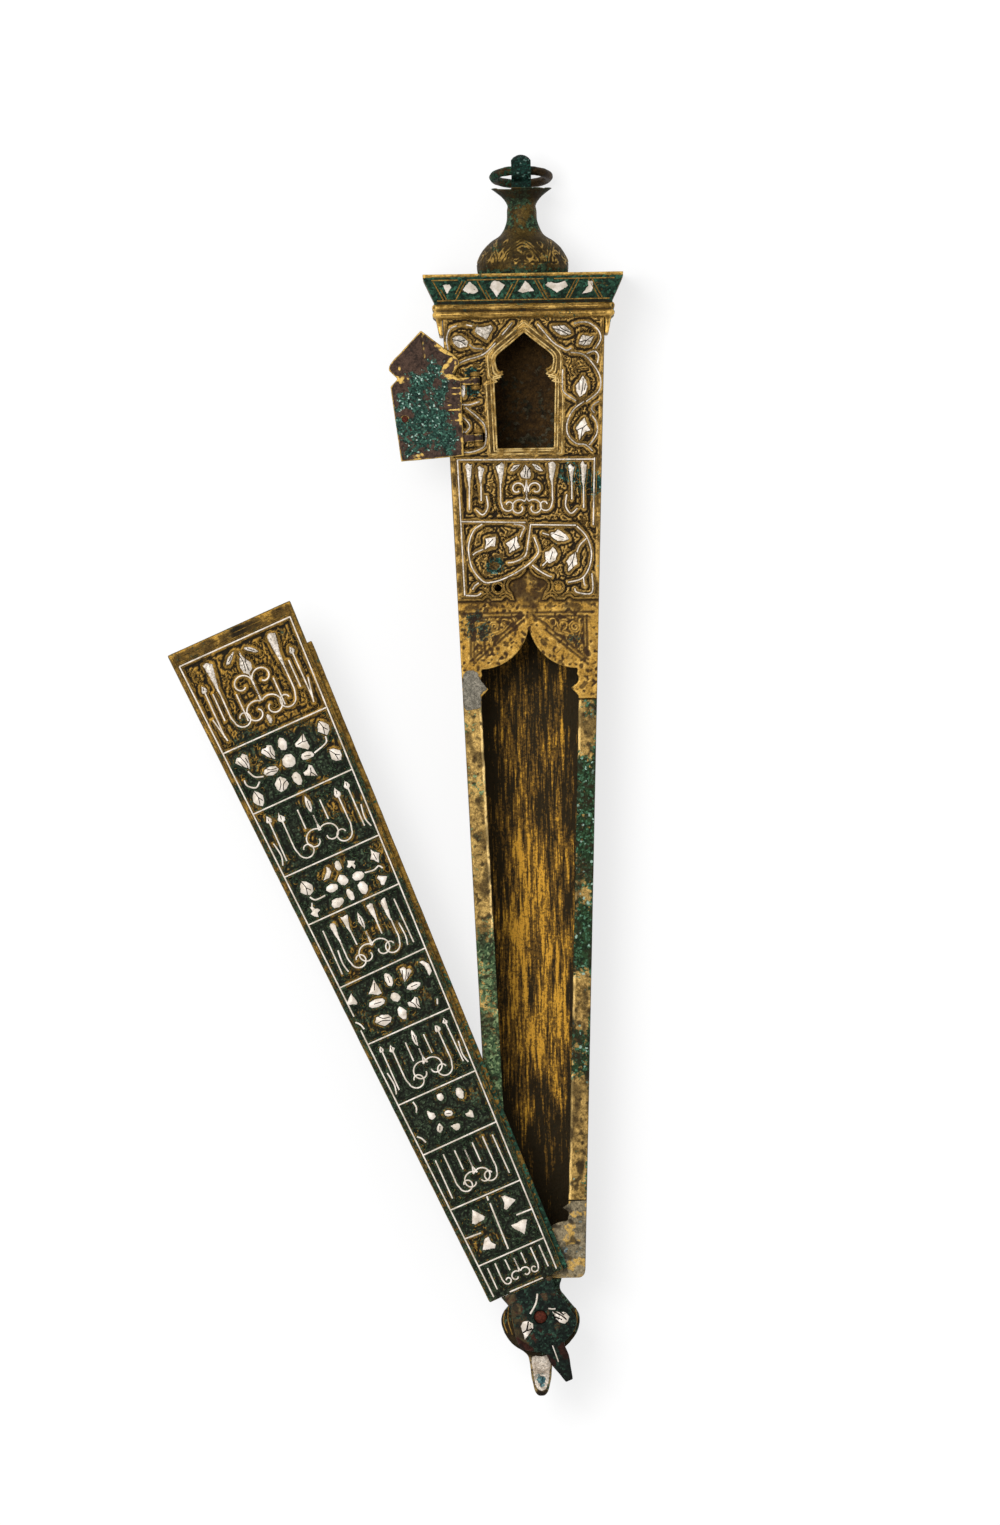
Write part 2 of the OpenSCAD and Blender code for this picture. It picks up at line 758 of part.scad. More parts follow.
module lid_panel_inlay() {
    color("#dfd3cf")
    on_lid()
    sheet(lid_top)
    for (k = [0, 2, 4, 6, 8, 10]) {
        h = lid_marks[k] - lid_marks[k + 1];
        translate([0, lid_marks[k + 1] + 0.15 * h])
            panel_row(lid_line_x(lid_marks[k + 1]), h, 2.15);
    }
}

module lid_triangle_inlay() {
    mid = (lid_marks[9] + lid_marks[10]) / 2;
    h = (lid_marks[9] - lid_marks[10]) * 0.3;
    color("#dfd3cf")
    on_lid()
    sheet(lid_top)
    for (s = [-1, 1])
        for (t = [-1, 1])
            translate([s * lid_line_x(mid) * 0.46, mid + t * 0.8])
                polygon([[-1.7, t * h], [1.7, t * h], [0, t * 0.3]]);
}

// Lines on the cover: round the window, and across above and below the ornament panel
panel_y1 = window_y0 - 2.4;
panel_len = 14.2;
panel_y0 = panel_y1 - panel_len;
function cover_line_x(y) = half_w(y) - 1.7;

module cover_line_inlay() {
    color("#dfd3cf")
    sheet(cover_z) {
        difference() {
            polygon(window_outline(1.9));
            polygon(window_outline(1.9 - line_w));
            translate([-20, window_y0 - 5]) square([40, 5]);
            for (y = hinge_ys)
                translate([hinge_x, y]) square([8, knuckle_len + 1], center = true);
        }
        for (y = [panel_y1, panel_y0, panel_y0 - 0.9])
            line([-cover_line_x(y), y], [cover_line_x(y), y]);
    }
}

module cover_panel_inlay() {
    color("#dfd3cf")
    sheet(cover_z)
    translate([0, panel_y0 + 1.8]) panel_row(cover_line_x(panel_y0), panel_y1 - panel_y0, 2.4);
}

module cover_leaf_inlay() {
    leaf_y = (cover_y0 + panel_y0) / 2 + 1.6;
    color("#dfd3cf")
    sheet(cover_z)
    for (s = [-1, 1]) {
        for (a = [20, 140, 260])
            translate([s * 7.4, leaf_y]) rotate(s * a) translate([0, 0.5]) leaf(3, 2.2);
        for (y = [window_y0 + 6, window_y0 + 13.5, window_y0 + 22.5])
            translate([s * (half_w(y) + knuckle_r - hinge_x) / 2, y]) rotate(s * 30) leaf(3, 2);
    }
}

module lower_beak_inlay() {
    slope = atan2(beak_drop[1] - beak_drop[0], beak_root);
    color("#e6ded6")
    translate([0, pivot_y - beak_root, rim_z - beak_drop[0]])
    rotate([slope, 0, 0])
    linear_extrude(inlay_t)
    polygon(both([for (p = [[0.22, 0], [0.17, -0.44], [0.1, -0.78], [0, -0.82]])
        [p.x * head_half, p.y * beak_root]]));
}

trough();
end_plate();
collar();
finial();
suspension_lug();
suspension_ring();
ink_partition();
ink_well();
arch_plate();
left_rail();
right_rail();
tail_plate();
cover_plate();
cover_rivet();
hinge_eyes();
hinge_pins();
ink_door();
door_knob();
tail_bird_head();
pivot_rivet();
lid_plate();
lid_left_runner();
lid_right_runner();
lid_bird_head();
collar_inlay();
cover_line_inlay();
cover_leaf_inlay();
cover_panel_inlay();
lower_beak_inlay();
lid_line_inlay();
lid_rosette_inlay();
lid_panel_inlay();
lid_triangle_inlay();
lid_eye_inlay();
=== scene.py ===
import json
import math
import random

import bmesh
import bpy
import numpy as np
from mathutils import Matrix, Vector
from mathutils.bvhtree import BVHTree
from mathutils.kdtree import KDTree


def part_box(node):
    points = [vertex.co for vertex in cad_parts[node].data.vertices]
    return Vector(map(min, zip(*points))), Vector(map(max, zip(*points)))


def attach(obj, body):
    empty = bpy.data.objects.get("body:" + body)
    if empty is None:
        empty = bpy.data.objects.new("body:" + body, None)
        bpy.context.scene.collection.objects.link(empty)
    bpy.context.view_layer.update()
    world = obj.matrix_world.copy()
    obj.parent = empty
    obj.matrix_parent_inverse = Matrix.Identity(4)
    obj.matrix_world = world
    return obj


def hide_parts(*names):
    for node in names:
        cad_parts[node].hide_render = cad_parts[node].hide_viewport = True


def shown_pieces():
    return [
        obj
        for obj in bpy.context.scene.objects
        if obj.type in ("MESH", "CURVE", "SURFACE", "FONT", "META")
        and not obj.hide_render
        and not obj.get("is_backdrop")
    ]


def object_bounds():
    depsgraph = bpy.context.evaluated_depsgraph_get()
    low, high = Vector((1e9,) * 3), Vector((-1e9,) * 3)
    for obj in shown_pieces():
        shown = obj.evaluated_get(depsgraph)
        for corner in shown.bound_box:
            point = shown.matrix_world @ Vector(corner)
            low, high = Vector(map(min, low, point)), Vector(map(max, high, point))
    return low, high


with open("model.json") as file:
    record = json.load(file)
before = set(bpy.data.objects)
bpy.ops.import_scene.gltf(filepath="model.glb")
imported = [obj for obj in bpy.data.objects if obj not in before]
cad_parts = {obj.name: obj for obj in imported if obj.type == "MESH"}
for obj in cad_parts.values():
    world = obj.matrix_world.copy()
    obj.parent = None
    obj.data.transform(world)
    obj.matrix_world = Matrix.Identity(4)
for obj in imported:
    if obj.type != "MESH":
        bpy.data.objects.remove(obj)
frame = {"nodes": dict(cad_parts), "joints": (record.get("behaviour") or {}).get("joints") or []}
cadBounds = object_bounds()
nodes = frame["nodes"]
joints = {j["name"]: j for j in frame["joints"]}
scene = bpy.context.scene
scene.view_settings.view_transform = "Standard"
mm = 0.001

# Heights and lines that the CAD gives, in mm
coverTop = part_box("cover_plate")[1].z / mm
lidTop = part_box("lid_plate")[1].z / mm
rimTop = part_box("arch_plate")[1].z / mm
pivotY = joints["lid_swivel"]["pos_m"][1] / mm
lidTurn = -math.radians(joints["lid_swivel"]["range_deg"][0])
lidToWorld = Matrix.Translation((0, pivotY * mm, 0)) @ Matrix.Rotation(lidTurn, 4, "Z")

bodySlope = ((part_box("right_rail")[1].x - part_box("tail_plate")[1].x)
             / (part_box("right_rail")[1].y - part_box("tail_plate")[1].y))


# Camera, floor and light

shot = {
    "mmPerPixel": 0.225,  # on the raised front of the box
    "imageHeight": 1525,
    "frontHeight": 25,
    "distance": 4000,
    "centre": (-7.0, 3.3),
    "lean": -0.97,  # degrees, the box leans a little in the picture
}


def setCamera():
    camera = bpy.data.objects.new("camera", bpy.data.cameras.new("camera"))
    lens = camera.data
    lens.sensor_fit = "VERTICAL"
    lens.sensor_height = 36
    lens.lens = lens.sensor_height * shot["distance"] / (shot["imageHeight"] * shot["mmPerPixel"])
    camera.location = Vector((*shot["centre"], shot["frontHeight"] + shot["distance"])) * mm
    camera.rotation_euler = (0, 0, math.radians(shot["lean"]))
    scene.collection.objects.link(camera)
    scene.camera = camera


studio = {
    "worldLight": 0.66,
    "keyPower": 9.5,
    "keyPlace": (-0.34, 0.22, 1.14),
    "keySize": 0.5,
    "floorWhite": 0.94,
    "floorGlow": 0.7,  # share of plain white that the camera sees in the floor
}


def seenRays(tree):
    # 1 for rays that show the background itself, straight or in metal
    path = tree.nodes.new("ShaderNodeLightPath").outputs
    seen = addMath(tree, "MAXIMUM", path["Is Camera Ray"], path["Is Glossy Ray"])
    return addMath(tree, "MAXIMUM", seen, path["Is Transmission Ray"])


def setStudio():
    world = bpy.data.worlds.new("studio")
    scene.world = world
    world.use_nodes = True
    tree = world.node_tree
    back = tree.nodes["Background"]
    strength = addMath(tree, "MULTIPLY_ADD", seenRays(tree), 1 - studio["worldLight"], studio["worldLight"])
    back.inputs["Color"].default_value = (1, 1, 1, 1)
    tree.links.new(strength, back.inputs["Strength"])

    lamp = bpy.data.objects.new("key", bpy.data.lights.new("key", "AREA"))
    lamp.data.energy = studio["keyPower"]
    lamp.data.size = studio["keySize"]
    lamp.location = studio["keyPlace"]
    lamp.rotation_euler = (-lamp.location).to_track_quat("-Z", "Y").to_euler()
    scene.collection.objects.link(lamp)

    mesh = bpy.data.meshes.new("floor")
    mesh.from_pydata([(-2, -2, 0), (2, -2, 0), (2, 2, 0), (-2, 2, 0)], [], [(0, 1, 2, 3)])
    mesh.transform(Matrix.Translation((0, 0, cadBounds[0].z - 0.05 * mm)))
    floor = addObject("floor", mesh)
    skin = bpy.data.materials.new("palePaper")
    skin.use_nodes = True
    tree = skin.node_tree
    paper = tree.nodes["Principled BSDF"]
    paper.inputs["Base Color"].default_value = (*[studio["floorWhite"]] * 3, 1)
    paper.inputs["Roughness"].default_value = 0.9
    paper.inputs["Specular IOR Level"].default_value = 0.1
    glow = tree.nodes.new("ShaderNodeEmission")
    blend = tree.nodes.new("ShaderNodeMixShader")
    share = addMath(tree, "MULTIPLY", seenRays(tree), studio["floorGlow"])
    tree.links.new(share, blend.inputs[0])
    tree.links.new(paper.outputs[0], blend.inputs[1])
    tree.links.new(glow.outputs[0], blend.inputs[2])
    tree.links.new(blend.outputs[0], tree.nodes["Material Output"].inputs["Surface"])
    mesh.materials.append(skin)
    floor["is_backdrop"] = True
    print("studio set")


# Node helpers

def addMath(tree, operation, *values, clamp=False):
    made = tree.nodes.new("ShaderNodeMath")
    made.operation = operation
    made.use_clamp = clamp
    for k, value in enumerate(values):
        feed(tree, value, made.inputs[k])
    return made.outputs[0]


def feed(tree, value, socket):
    if isinstance(value, bpy.types.NodeSocket):
        tree.links.new(value, socket)
    else:
        socket.default_value = value


def addMix(tree, share, first, second, blend="MIX"):
    made = tree.nodes.new("ShaderNodeMix")
    made.data_type = "RGBA"
    made.blend_type = blend
    feed(tree, share, made.inputs[0])
    feed(tree, first, made.inputs[6])
    feed(tree, second, made.inputs[7])
    return made.outputs[2]


def addNoise(tree, place, scale, detail=3.0, rough=0.55):
    made = tree.nodes.new("ShaderNodeTexNoise")
    tree.links.new(place, made.inputs["Vector"])
    feed(tree, scale, made.inputs["Scale"])
    made.inputs["Detail"].default_value = detail
    made.inputs["Roughness"].default_value = rough
    return made.outputs["Fac"]


def addRange(tree, value, low, high, toLow=0.0, toHigh=1.0):
    made = tree.nodes.new("ShaderNodeMapRange")
    made.interpolation_type = "SMOOTHSTEP"
    feed(tree, value, made.inputs["Value"])
    for name, number in (("From Min", low), ("From Max", high), ("To Min", toLow), ("To Max", toHigh)):
        feed(tree, number, made.inputs[name])
    return made.outputs["Result"]


def addCells(tree, place, scale):
    # A random value for each crystal
    made = tree.nodes.new("ShaderNodeTexVoronoi")
    tree.links.new(place, made.inputs["Vector"])
    feed(tree, scale, made.inputs["Scale"])
    part = tree.nodes.new("ShaderNodeSeparateColor")
    tree.links.new(made.outputs["Color"], part.inputs[0])
    return part.outputs["Red"]


def addAttribute(tree, name):
    made = tree.nodes.new("ShaderNodeAttribute")
    made.attribute_name = name
    return made.outputs["Fac"]


def addPlace(tree):
    return tree.nodes.new("ShaderNodeTexCoord").outputs["Object"]


def tint(code):
    parts = [int(code[k:k + 2], 16) / 255 for k in (1, 3, 5)]
    return (*[c / 12.92 if c <= 0.04045 else ((c + 0.055) / 1.055) ** 2.4 for c in parts], 1)


def newGroup(name, inputs, outputs):
    group = bpy.data.node_groups.new(name, "ShaderNodeTree")
    for label, kind in inputs:
        group.interface.new_socket(label, in_out="INPUT", socket_type=kind)
    for label, kind in outputs:
        group.interface.new_socket(label, in_out="OUTPUT", socket_type=kind)
    return group, group.nodes.new("NodeGroupInput").outputs, group.nodes.new("NodeGroupOutput").inputs


colourSocket = "NodeSocketColor"
valueSocket = "NodeSocketFloat"


def buildAgedMetal():
    # Old metal: mottled skin, rubbed ridges with some painted highlights, green patina where painted, dirt in
    # hollows with some painted shade
    group, given, out = newGroup("agedMetal", [
        ("Metal", colourSocket), ("Shade", colourSocket), ("RubbedAndSheenTone", colourSocket),
        ("Patina", colourSocket), ("Patina Light", colourSocket), ("DirtAndShadeTone", colourSocket),
        ("Rubbing", valueSocket), ("Pitting", valueSocket),
        ("Mottle Scale", valueSocket), ("Sparkle", valueSocket),
    ], [("Colour", colourSocket), ("Metallic", valueSocket), ("Roughness", valueSocket),
        ("Height", valueSocket)])
    place = addPlace(group)
    scale = given["Mottle Scale"]
    broad = addNoise(group, place, addMath(group, "MULTIPLY", scale, 0.22), 3)
    mid = addNoise(group, place, scale, 4, 0.62)
    fine = addNoise(group, place, addMath(group, "MULTIPLY", scale, 3.7), 3, 0.6)
    wearAndSheen = addAttribute(group, "wearAndSheen")
    ridge = addAttribute(group, "ridge")
    grimeAndShadeMark = addAttribute(group, "grimeAndShade")
    greened = addAttribute(group, "verdigris")
    crystal = addCells(group, place, addMath(group, "MULTIPLY", scale, 2.1))

    mottle = addMath(group, "MULTIPLY_ADD", mid, 0.6, addMath(group, "MULTIPLY", broad, 0.4))
    colour = addMix(group, addRange(group, mottle, 0.4, 0.62), given["Metal"], given["Shade"])
    grain = addMath(group, "MULTIPLY", addRange(group, fine, 0.28, 0.72, 0.5, 1.4),
                    addRange(group, crystal, 0, 1, 0.8, 1.18))
    colour = addMix(group, 1.0, colour, grain, "MULTIPLY")

    # Rubbed colour where the wear mark and ridges are; on the window frame the wear mark is a painted
    # highlight
    rubAndSheen = addMath(group, "MULTIPLY", addMath(group, "ADD", wearAndSheen, ridge),
                  addRange(group, mid, 0.3, 0.7, 0.5, 1.35))
    rubAndSheen = addMath(group, "MULTIPLY", addRange(group, rubAndSheen, 0.25, 0.8), given["Rubbing"])
    rubbedAndSheen = addMix(group, 1.0, given["RubbedAndSheenTone"], addRange(group, fine, 0.3, 0.75, 0.75, 1.25), "MULTIPLY")
    colour = addMix(group, rubAndSheen, colour, rubbedAndSheen)

    spread = addMath(group, "MULTIPLY_ADD", addMath(group, "SUBTRACT", mid, 0.5), 1.5, greened)
    spread = addMath(group, "MULTIPLY_ADD", addMath(group, "SUBTRACT", broad, 0.5), 0.9, spread)
    spread = addMath(group, "MULTIPLY_ADD", addMath(group, "SUBTRACT", crystal, 0.5), 0.4, spread)
    green = addRange(group, spread, 0.4, 0.62)
    tone = addMath(group, "MULTIPLY_ADD", crystal, 0.5, addMath(group, "MULTIPLY", fine, 0.55))
    deep = addMix(group, 1.0, given["Patina"], (0.22, 0.24, 0.24, 1), "MULTIPLY")
    speck = addMix(group, addRange(group, tone, 0.34, 0.62), deep, given["Patina"])
    speck = addMix(group, addRange(group, tone, 0.62, 0.84), speck, given["Patina Light"])
    spark = addMath(group, "MULTIPLY", addRange(group, crystal, 0.955, 0.985), given["Sparkle"])
    speck = addMix(group, spark, speck, (0.62, 0.78, 0.7, 1))
    colour = addMix(group, green, colour, speck)

    # Dark colour from dirt, pits and the painted shade that the grime mark carries
    pits = addMath(group, "MULTIPLY", addRange(group, fine, 0.62, 0.74), given["Pitting"])
    dirtAndShade = addMath(group, "MAXIMUM", grimeAndShadeMark, pits, clamp=True)
    colour = addMix(group, dirtAndShade, colour, given["DirtAndShadeTone"])

    group.links.new(colour, out["Colour"])
    clean = addMath(group, "SUBTRACT", 1.0, addMath(group, "MAXIMUM", green, dirtAndShade), clamp=True)
    group.links.new(addMath(group, "MULTIPLY", clean, 0.7), out["Metallic"])
    rough = addMath(group, "MULTIPLY_ADD", clean, -0.22, 0.72)
    rough = addMath(group, "MULTIPLY_ADD", rubAndSheen, -0.1, rough)
    group.links.new(addMath(group, "MULTIPLY_ADD", fine, 0.1, rough), out["Roughness"])
    height = addMath(group, "MULTIPLY_ADD", mid, 0.5, addMath(group, "MULTIPLY", fine, 0.5))
    group.links.new(addMath(group, "MULTIPLY_ADD", pits, -0.6, height), out["Height"])
    return group


def buildLongStreaks():
    # Streaks along the box, bright and dark, with specks between
    group, given, out = newGroup("longStreaks", [
        ("Bright", colourSocket), ("Middle", colourSocket), ("Dark", colourSocket), ("Speck", colourSocket),
        ("Across", valueSocket), ("Along", valueSocket),
    ], [("Colour", colourSocket), ("Height", valueSocket)])
    stretch = group.nodes.new("ShaderNodeVectorMath")
    stretch.operation = "MULTIPLY"
    sizes = group.nodes.new("ShaderNodeCombineXYZ")
    for name, source in (("X", "Across"), ("Y", "Along"), ("Z", "Across")):
        group.links.new(given[source], sizes.inputs[name])
    group.links.new(addPlace(group), stretch.inputs[0])
    group.links.new(sizes.outputs[0], stretch.inputs[1])
    place = stretch.outputs[0]
    streak = addNoise(group, place, 1.0, 4, 0.62)
    second = addNoise(group, place, 2.3, 5, 0.75)
    grain = addNoise(group, addPlace(group), 1700.0, 5, 0.8)
    # The amber mark sets how bright the streaks run; where it is low it also paints shade
    amberAndShade = addAttribute(group, "amberAndShade")
    level = addMath(group, "MULTIPLY_ADD", streak, 0.5, addMath(group, "MULTIPLY", second, 0.22))
    level = addMath(group, "MULTIPLY_ADD", grain, 0.28, level)
    level = addMath(group, "MULTIPLY_ADD", amberAndShade, 0.105, addMath(group, "SUBTRACT", level, 0.065))
    colour = addMix(group, addRange(group, level, 0.44, 0.48), given["Dark"], given["Middle"])
    colour = addMix(group, addRange(group, level, 0.505, 0.55), colour, given["Bright"])
    speckle = addNoise(group, addPlace(group), 2100.0, 4, 0.75)
    colour = addMix(group, addRange(group, speckle, 0.55, 0.62), colour,
                    addMix(group, 0.7, colour, given["Speck"]))
    group.links.new(colour, out["Colour"])
    group.links.new(level, out["Height"])
    return group


def buildCutMarks():
    # Fine burnishing marks and small dark nicks of hand-cut sheet
    group, given, out = newGroup("cutMarks", [("Scale", valueSocket)],
                                 [("Nick", valueSocket), ("Tone", valueSocket), ("Height", valueSocket)])
    place = addPlace(group)
    fine = addNoise(group, place, given["Scale"], 4, 0.7)
    broad = addNoise(group, place, addMath(group, "MULTIPLY", given["Scale"], 0.3), 2)
    group.links.new(addRange(group, fine, 0.6, 0.7), out["Nick"])
    group.links.new(addRange(group, broad, 0.3, 0.7), out["Tone"])
    group.links.new(fine, out["Height"])
    return group


def placeGroup(tree, group, **values):
    made = tree.nodes.new("ShaderNodeGroup")
    made.node_tree = group
    for name, value in values.items():
        made.inputs[name.replace("_", " ")].default_value = value
    return made.outputs


def newMaterial(name):
    made = bpy.data.materials.new(name)
    made.use_nodes = True
    return made, made.node_tree, made.node_tree.nodes["Principled BSDF"]


dullGloss = 0.12  # gloss of old dirt and patina, well under that of a clean surface


def addBump(tree, shader, height, depth, strength=0.6):
    bump = tree.nodes.new("ShaderNodeBump")
    bump.inputs["Strength"].default_value = strength
    bump.inputs["Distance"].default_value = depth * mm
    tree.links.new(height, bump.inputs["Height"])
    tree.links.new(bump.outputs[0], shader.inputs["Normal"])


agedMetal = buildAgedMetal()
longStreaks = buildLongStreaks()
cutMarks = buildCutMarks()

# The grime colour darkens dirt and also painted shade, where a grime mark carries it
metalFinishes = {
    "coverBronze": {"Metal": "#574320", "Shade": "#352711", "RubbedAndSheenTone": "#a28144", "DirtAndShadeTone": "#140d06",
                    "Patina": "#16352c", "Patina_Light": "#3a7a6b", "Rubbing": 0.95, "Mottle": 1300,
                    "Pitting": 0.6, "Sparkle": 0.3},
    "lidBronze": {"Metal": "#4f3c1b", "Shade": "#281d0d", "RubbedAndSheenTone": "#94712f", "DirtAndShadeTone": "#0d0b06",
                  "Patina": "#293122", "Patina_Light": "#4d5e45", "Rubbing": 0.9, "Mottle": 1300,
                  "Pitting": 0.5},
    "collarBronze": {"Metal": "#7d6029", "Shade": "#3f2d10", "RubbedAndSheenTone": "#cba458", "DirtAndShadeTone": "#1a1106",
                     "Patina": "#1c3527", "Patina_Light": "#34604b", "Rubbing": 0.9, "Mottle": 900,
                     "Pitting": 0.55},
    "finialBronze": {"Metal": "#54431f", "Shade": "#332713", "RubbedAndSheenTone": "#a58442", "DirtAndShadeTone": "#191206",
                     "Patina": "#2a3a28", "Patina_Light": "#4a6a4c", "Rubbing": 0.9, "Mottle": 1100,
                     "Pitting": 0.5},
    "archBrass": {"Metal": "#a37d36", "Shade": "#6b4e1f", "RubbedAndSheenTone": "#c9a254", "DirtAndShadeTone": "#281910",
                  "Patina": "#2b3a2c", "Patina_Light": "#566a56", "Rubbing": 0.7, "Mottle": 1500,
                  "Pitting": 0.9},
    "railBronze": {"Metal": "#a08249", "Shade": "#594522", "RubbedAndSheenTone": "#c9a866", "DirtAndShadeTone": "#241a0c",
                   "Patina": "#24391f", "Patina_Light": "#4f7f63", "Rubbing": 0.85, "Mottle": 1000,
                   "Pitting": 1.0, "Sparkle": 0.35},
    "leftRail": {"Metal": "#a88a4e", "Shade": "#654f2a", "RubbedAndSheenTone": "#cfb072", "DirtAndShadeTone": "#241a0c",
                 "Patina": "#465c3c", "Patina_Light": "#8b9a6c", "Rubbing": 0.85, "Mottle": 1000,
                 "Pitting": 0.9},
    "tinnedPlate": {"Metal": "#7d7159", "Shade": "#4f4838", "RubbedAndSheenTone": "#a98744", "DirtAndShadeTone": "#221a10",
                    "Patina": "#46575c", "Patina_Light": "#7d8c8a", "Rubbing": 0.85, "Mottle": 1000,
                    "Pitting": 0.8},
    "doorBronze": {"Metal": "#44342b", "Shade": "#271e1a", "RubbedAndSheenTone": "#b3924c", "DirtAndShadeTone": "#1a110a",
                   "Patina": "#264238", "Patina_Light": "#54836f", "Rubbing": 0.95, "Mottle": 1400,
                   "Pitting": 0.6, "Sparkle": 0.45},
    "troughBronze": {"Metal": "#5d4520", "Shade": "#3a2b12", "RubbedAndSheenTone": "#a98440", "DirtAndShadeTone": "#150f06",
                     "Patina": "#213c2e", "Patina_Light": "#47755e", "Rubbing": 0.85, "Mottle": 600,
                     "Pitting": 0.55},
    "greenBronze": {"Metal": "#12211a", "Shade": "#0b1610", "RubbedAndSheenTone": "#34422f", "DirtAndShadeTone": "#08100b",
                    "Patina": "#09231c", "Patina_Light": "#1c473c", "Rubbing": 0.6, "Mottle": 1300,
                    "Pitting": 0.4, "Sparkle": 0.12},
    "headBronze": {"Metal": "#3a211a", "Shade": "#281610", "RubbedAndSheenTone": "#504930", "DirtAndShadeTone": "#090a07",
                   "Patina": "#15211a", "Patina_Light": "#34503f", "Rubbing": 0.6, "Mottle": 1000,
                   "Pitting": 0.6},
    "beakBronze": {"Metal": "#2c2314", "Shade": "#19130a", "RubbedAndSheenTone": "#9a8358", "DirtAndShadeTone": "#120d06",
                   "Patina": "#27382a", "Patina_Light": "#566f58", "Rubbing": 0.85, "Mottle": 1200,
                   "Pitting": 0.6},
    "ringBronze": {"Metal": "#3c2d17", "Shade": "#231a0e", "RubbedAndSheenTone": "#7a5f30", "DirtAndShadeTone": "#0f0b05",
                   "Patina": "#15301f", "Patina_Light": "#2c5a45", "Rubbing": 0.7, "Mottle": 1000,
                   "Pitting": 0.4},
    "sootBronze": {"Metal": "#3c2a12", "Shade": "#291c0c", "RubbedAndSheenTone": "#5a4420", "DirtAndShadeTone": "#140d06",
                   "Patina": "#33301f", "Patina_Light": "#5a5240", "Rubbing": 0.5, "Mottle": 700,
                   "Pitting": 0.4},
    "rustIron": {"Metal": "#52261a", "Shade": "#341710", "RubbedAndSheenTone": "#784028", "DirtAndShadeTone": "#1f0e08",
                 "Patina": "#4a3020", "Patina_Light": "#7a5034", "Rubbing": 0.6, "Mottle": 1600,
                 "Pitting": 0.6},
    # Gold of raised wires; its rubbed colour is lightened to paint the highlights on the window frame
    "rubbedRidgeAndSheen": {"Metal": "#8f7038", "Shade": "#5c4620", "RubbedAndSheenTone": "#dcbf80", "DirtAndShadeTone": "#241809",
                    "Patina": "#2a3a2a", "Patina_Light": "#4f6e58", "Rubbing": 0.6, "Mottle": 1500,
                    "Pitting": 0.8},
    "groundScroll": {"Metal": "#705629", "Shade": "#3a2a13", "RubbedAndSheenTone": "#9c7d42", "DirtAndShadeTone": "#170f06",
                     "Patina": "#21301f", "Patina_Light": "#3f5a44", "Rubbing": 0.5, "Mottle": 900,
                     "Pitting": 0.9},
    "lidRidge": {"Metal": "#80642d", "Shade": "#443216", "RubbedAndSheenTone": "#a8843f", "DirtAndShadeTone": "#140f07",
                 "Patina": "#222e1d", "Patina_Light": "#3d5238", "Rubbing": 0.6, "Mottle": 1100,
                 "Pitting": 0.8},
    "darkVein": {"Metal": "#221b15", "Shade": "#130f0b", "RubbedAndSheenTone": "#3a2f22", "DirtAndShadeTone": "#0c0906",
                 "Patina": "#1a241f", "Patina_Light": "#2a3a33", "Rubbing": 0.3, "Mottle": 1500,
                 "Pitting": 0.3},
    "solderGrey": {"Metal": "#726c60", "Shade": "#545046", "RubbedAndSheenTone": "#968f80", "DirtAndShadeTone": "#352f26",
                   "Patina": "#4c5850", "Patina_Light": "#7d877c", "Rubbing": 0.4, "Mottle": 1100,
                   "Pitting": 0.5},
    "beakSheet": {"Metal": "#c4b9ab", "Shade": "#8f8171", "RubbedAndSheenTone": "#d8d0c6", "DirtAndShadeTone": "#4a3c2e",
                  "Patina": "#35585c", "Patina_Light": "#7d9a98", "Rubbing": 0.5, "Mottle": 1000,
                  "Pitting": 0.6},
}


def placeMetal(tree, finish):
    colours = {k: tint(finish[k]) for k in ("Metal", "Shade", "RubbedAndSheenTone", "Patina", "Patina_Light", "DirtAndShadeTone")}
    return placeGroup(tree, agedMetal, Rubbing=finish["Rubbing"], Pitting=finish["Pitting"],
                      Mottle_Scale=finish["Mottle"], Sparkle=finish.get("Sparkle", 0.0), **colours)


def makeMetal(name):
    made, tree, shader = newMaterial(name)
    old = placeMetal(tree, metalFinishes[name])
    for output, socket in (("Colour", "Base Color"), ("Metallic", "Metallic"), ("Roughness", "Roughness")):
        tree.links.new(old[output], shader.inputs[socket])
    shader.inputs["Specular IOR Level"].default_value = dullGloss
    addBump(tree, shader, old["Height"], 0.14, 0.75)
    return made


def makeTroughSkin():
    made, tree, shader = newMaterial("troughStreaks")
    old = placeMetal(tree, metalFinishes["troughBronze"])
    run = placeGroup(tree, longStreaks, Bright=tint("#cd9833"), Middle=tint("#674a1b"), Dark=tint("#271d0a"),
                     Speck=tint("#191a0c"), Across=1500.0, Along=115.0)
    shader.inputs["Specular IOR Level"].default_value = dullGloss
    inside = addAttribute(tree, "inside")
    tree.links.new(addMix(tree, inside, old["Colour"], run["Colour"]), shader.inputs["Base Color"])
    tree.links.new(addMath(tree, "MULTIPLY", old["Metallic"], addRange(tree, inside, 0, 1, 1, 0.55)),
                   shader.inputs["Metallic"])
    tree.links.new(old["Roughness"], shader.inputs["Roughness"])
    height = addMath(tree, "MULTIPLY_ADD", run["Height"], inside, old["Height"])
    addBump(tree, shader, height, 0.2)
    return made


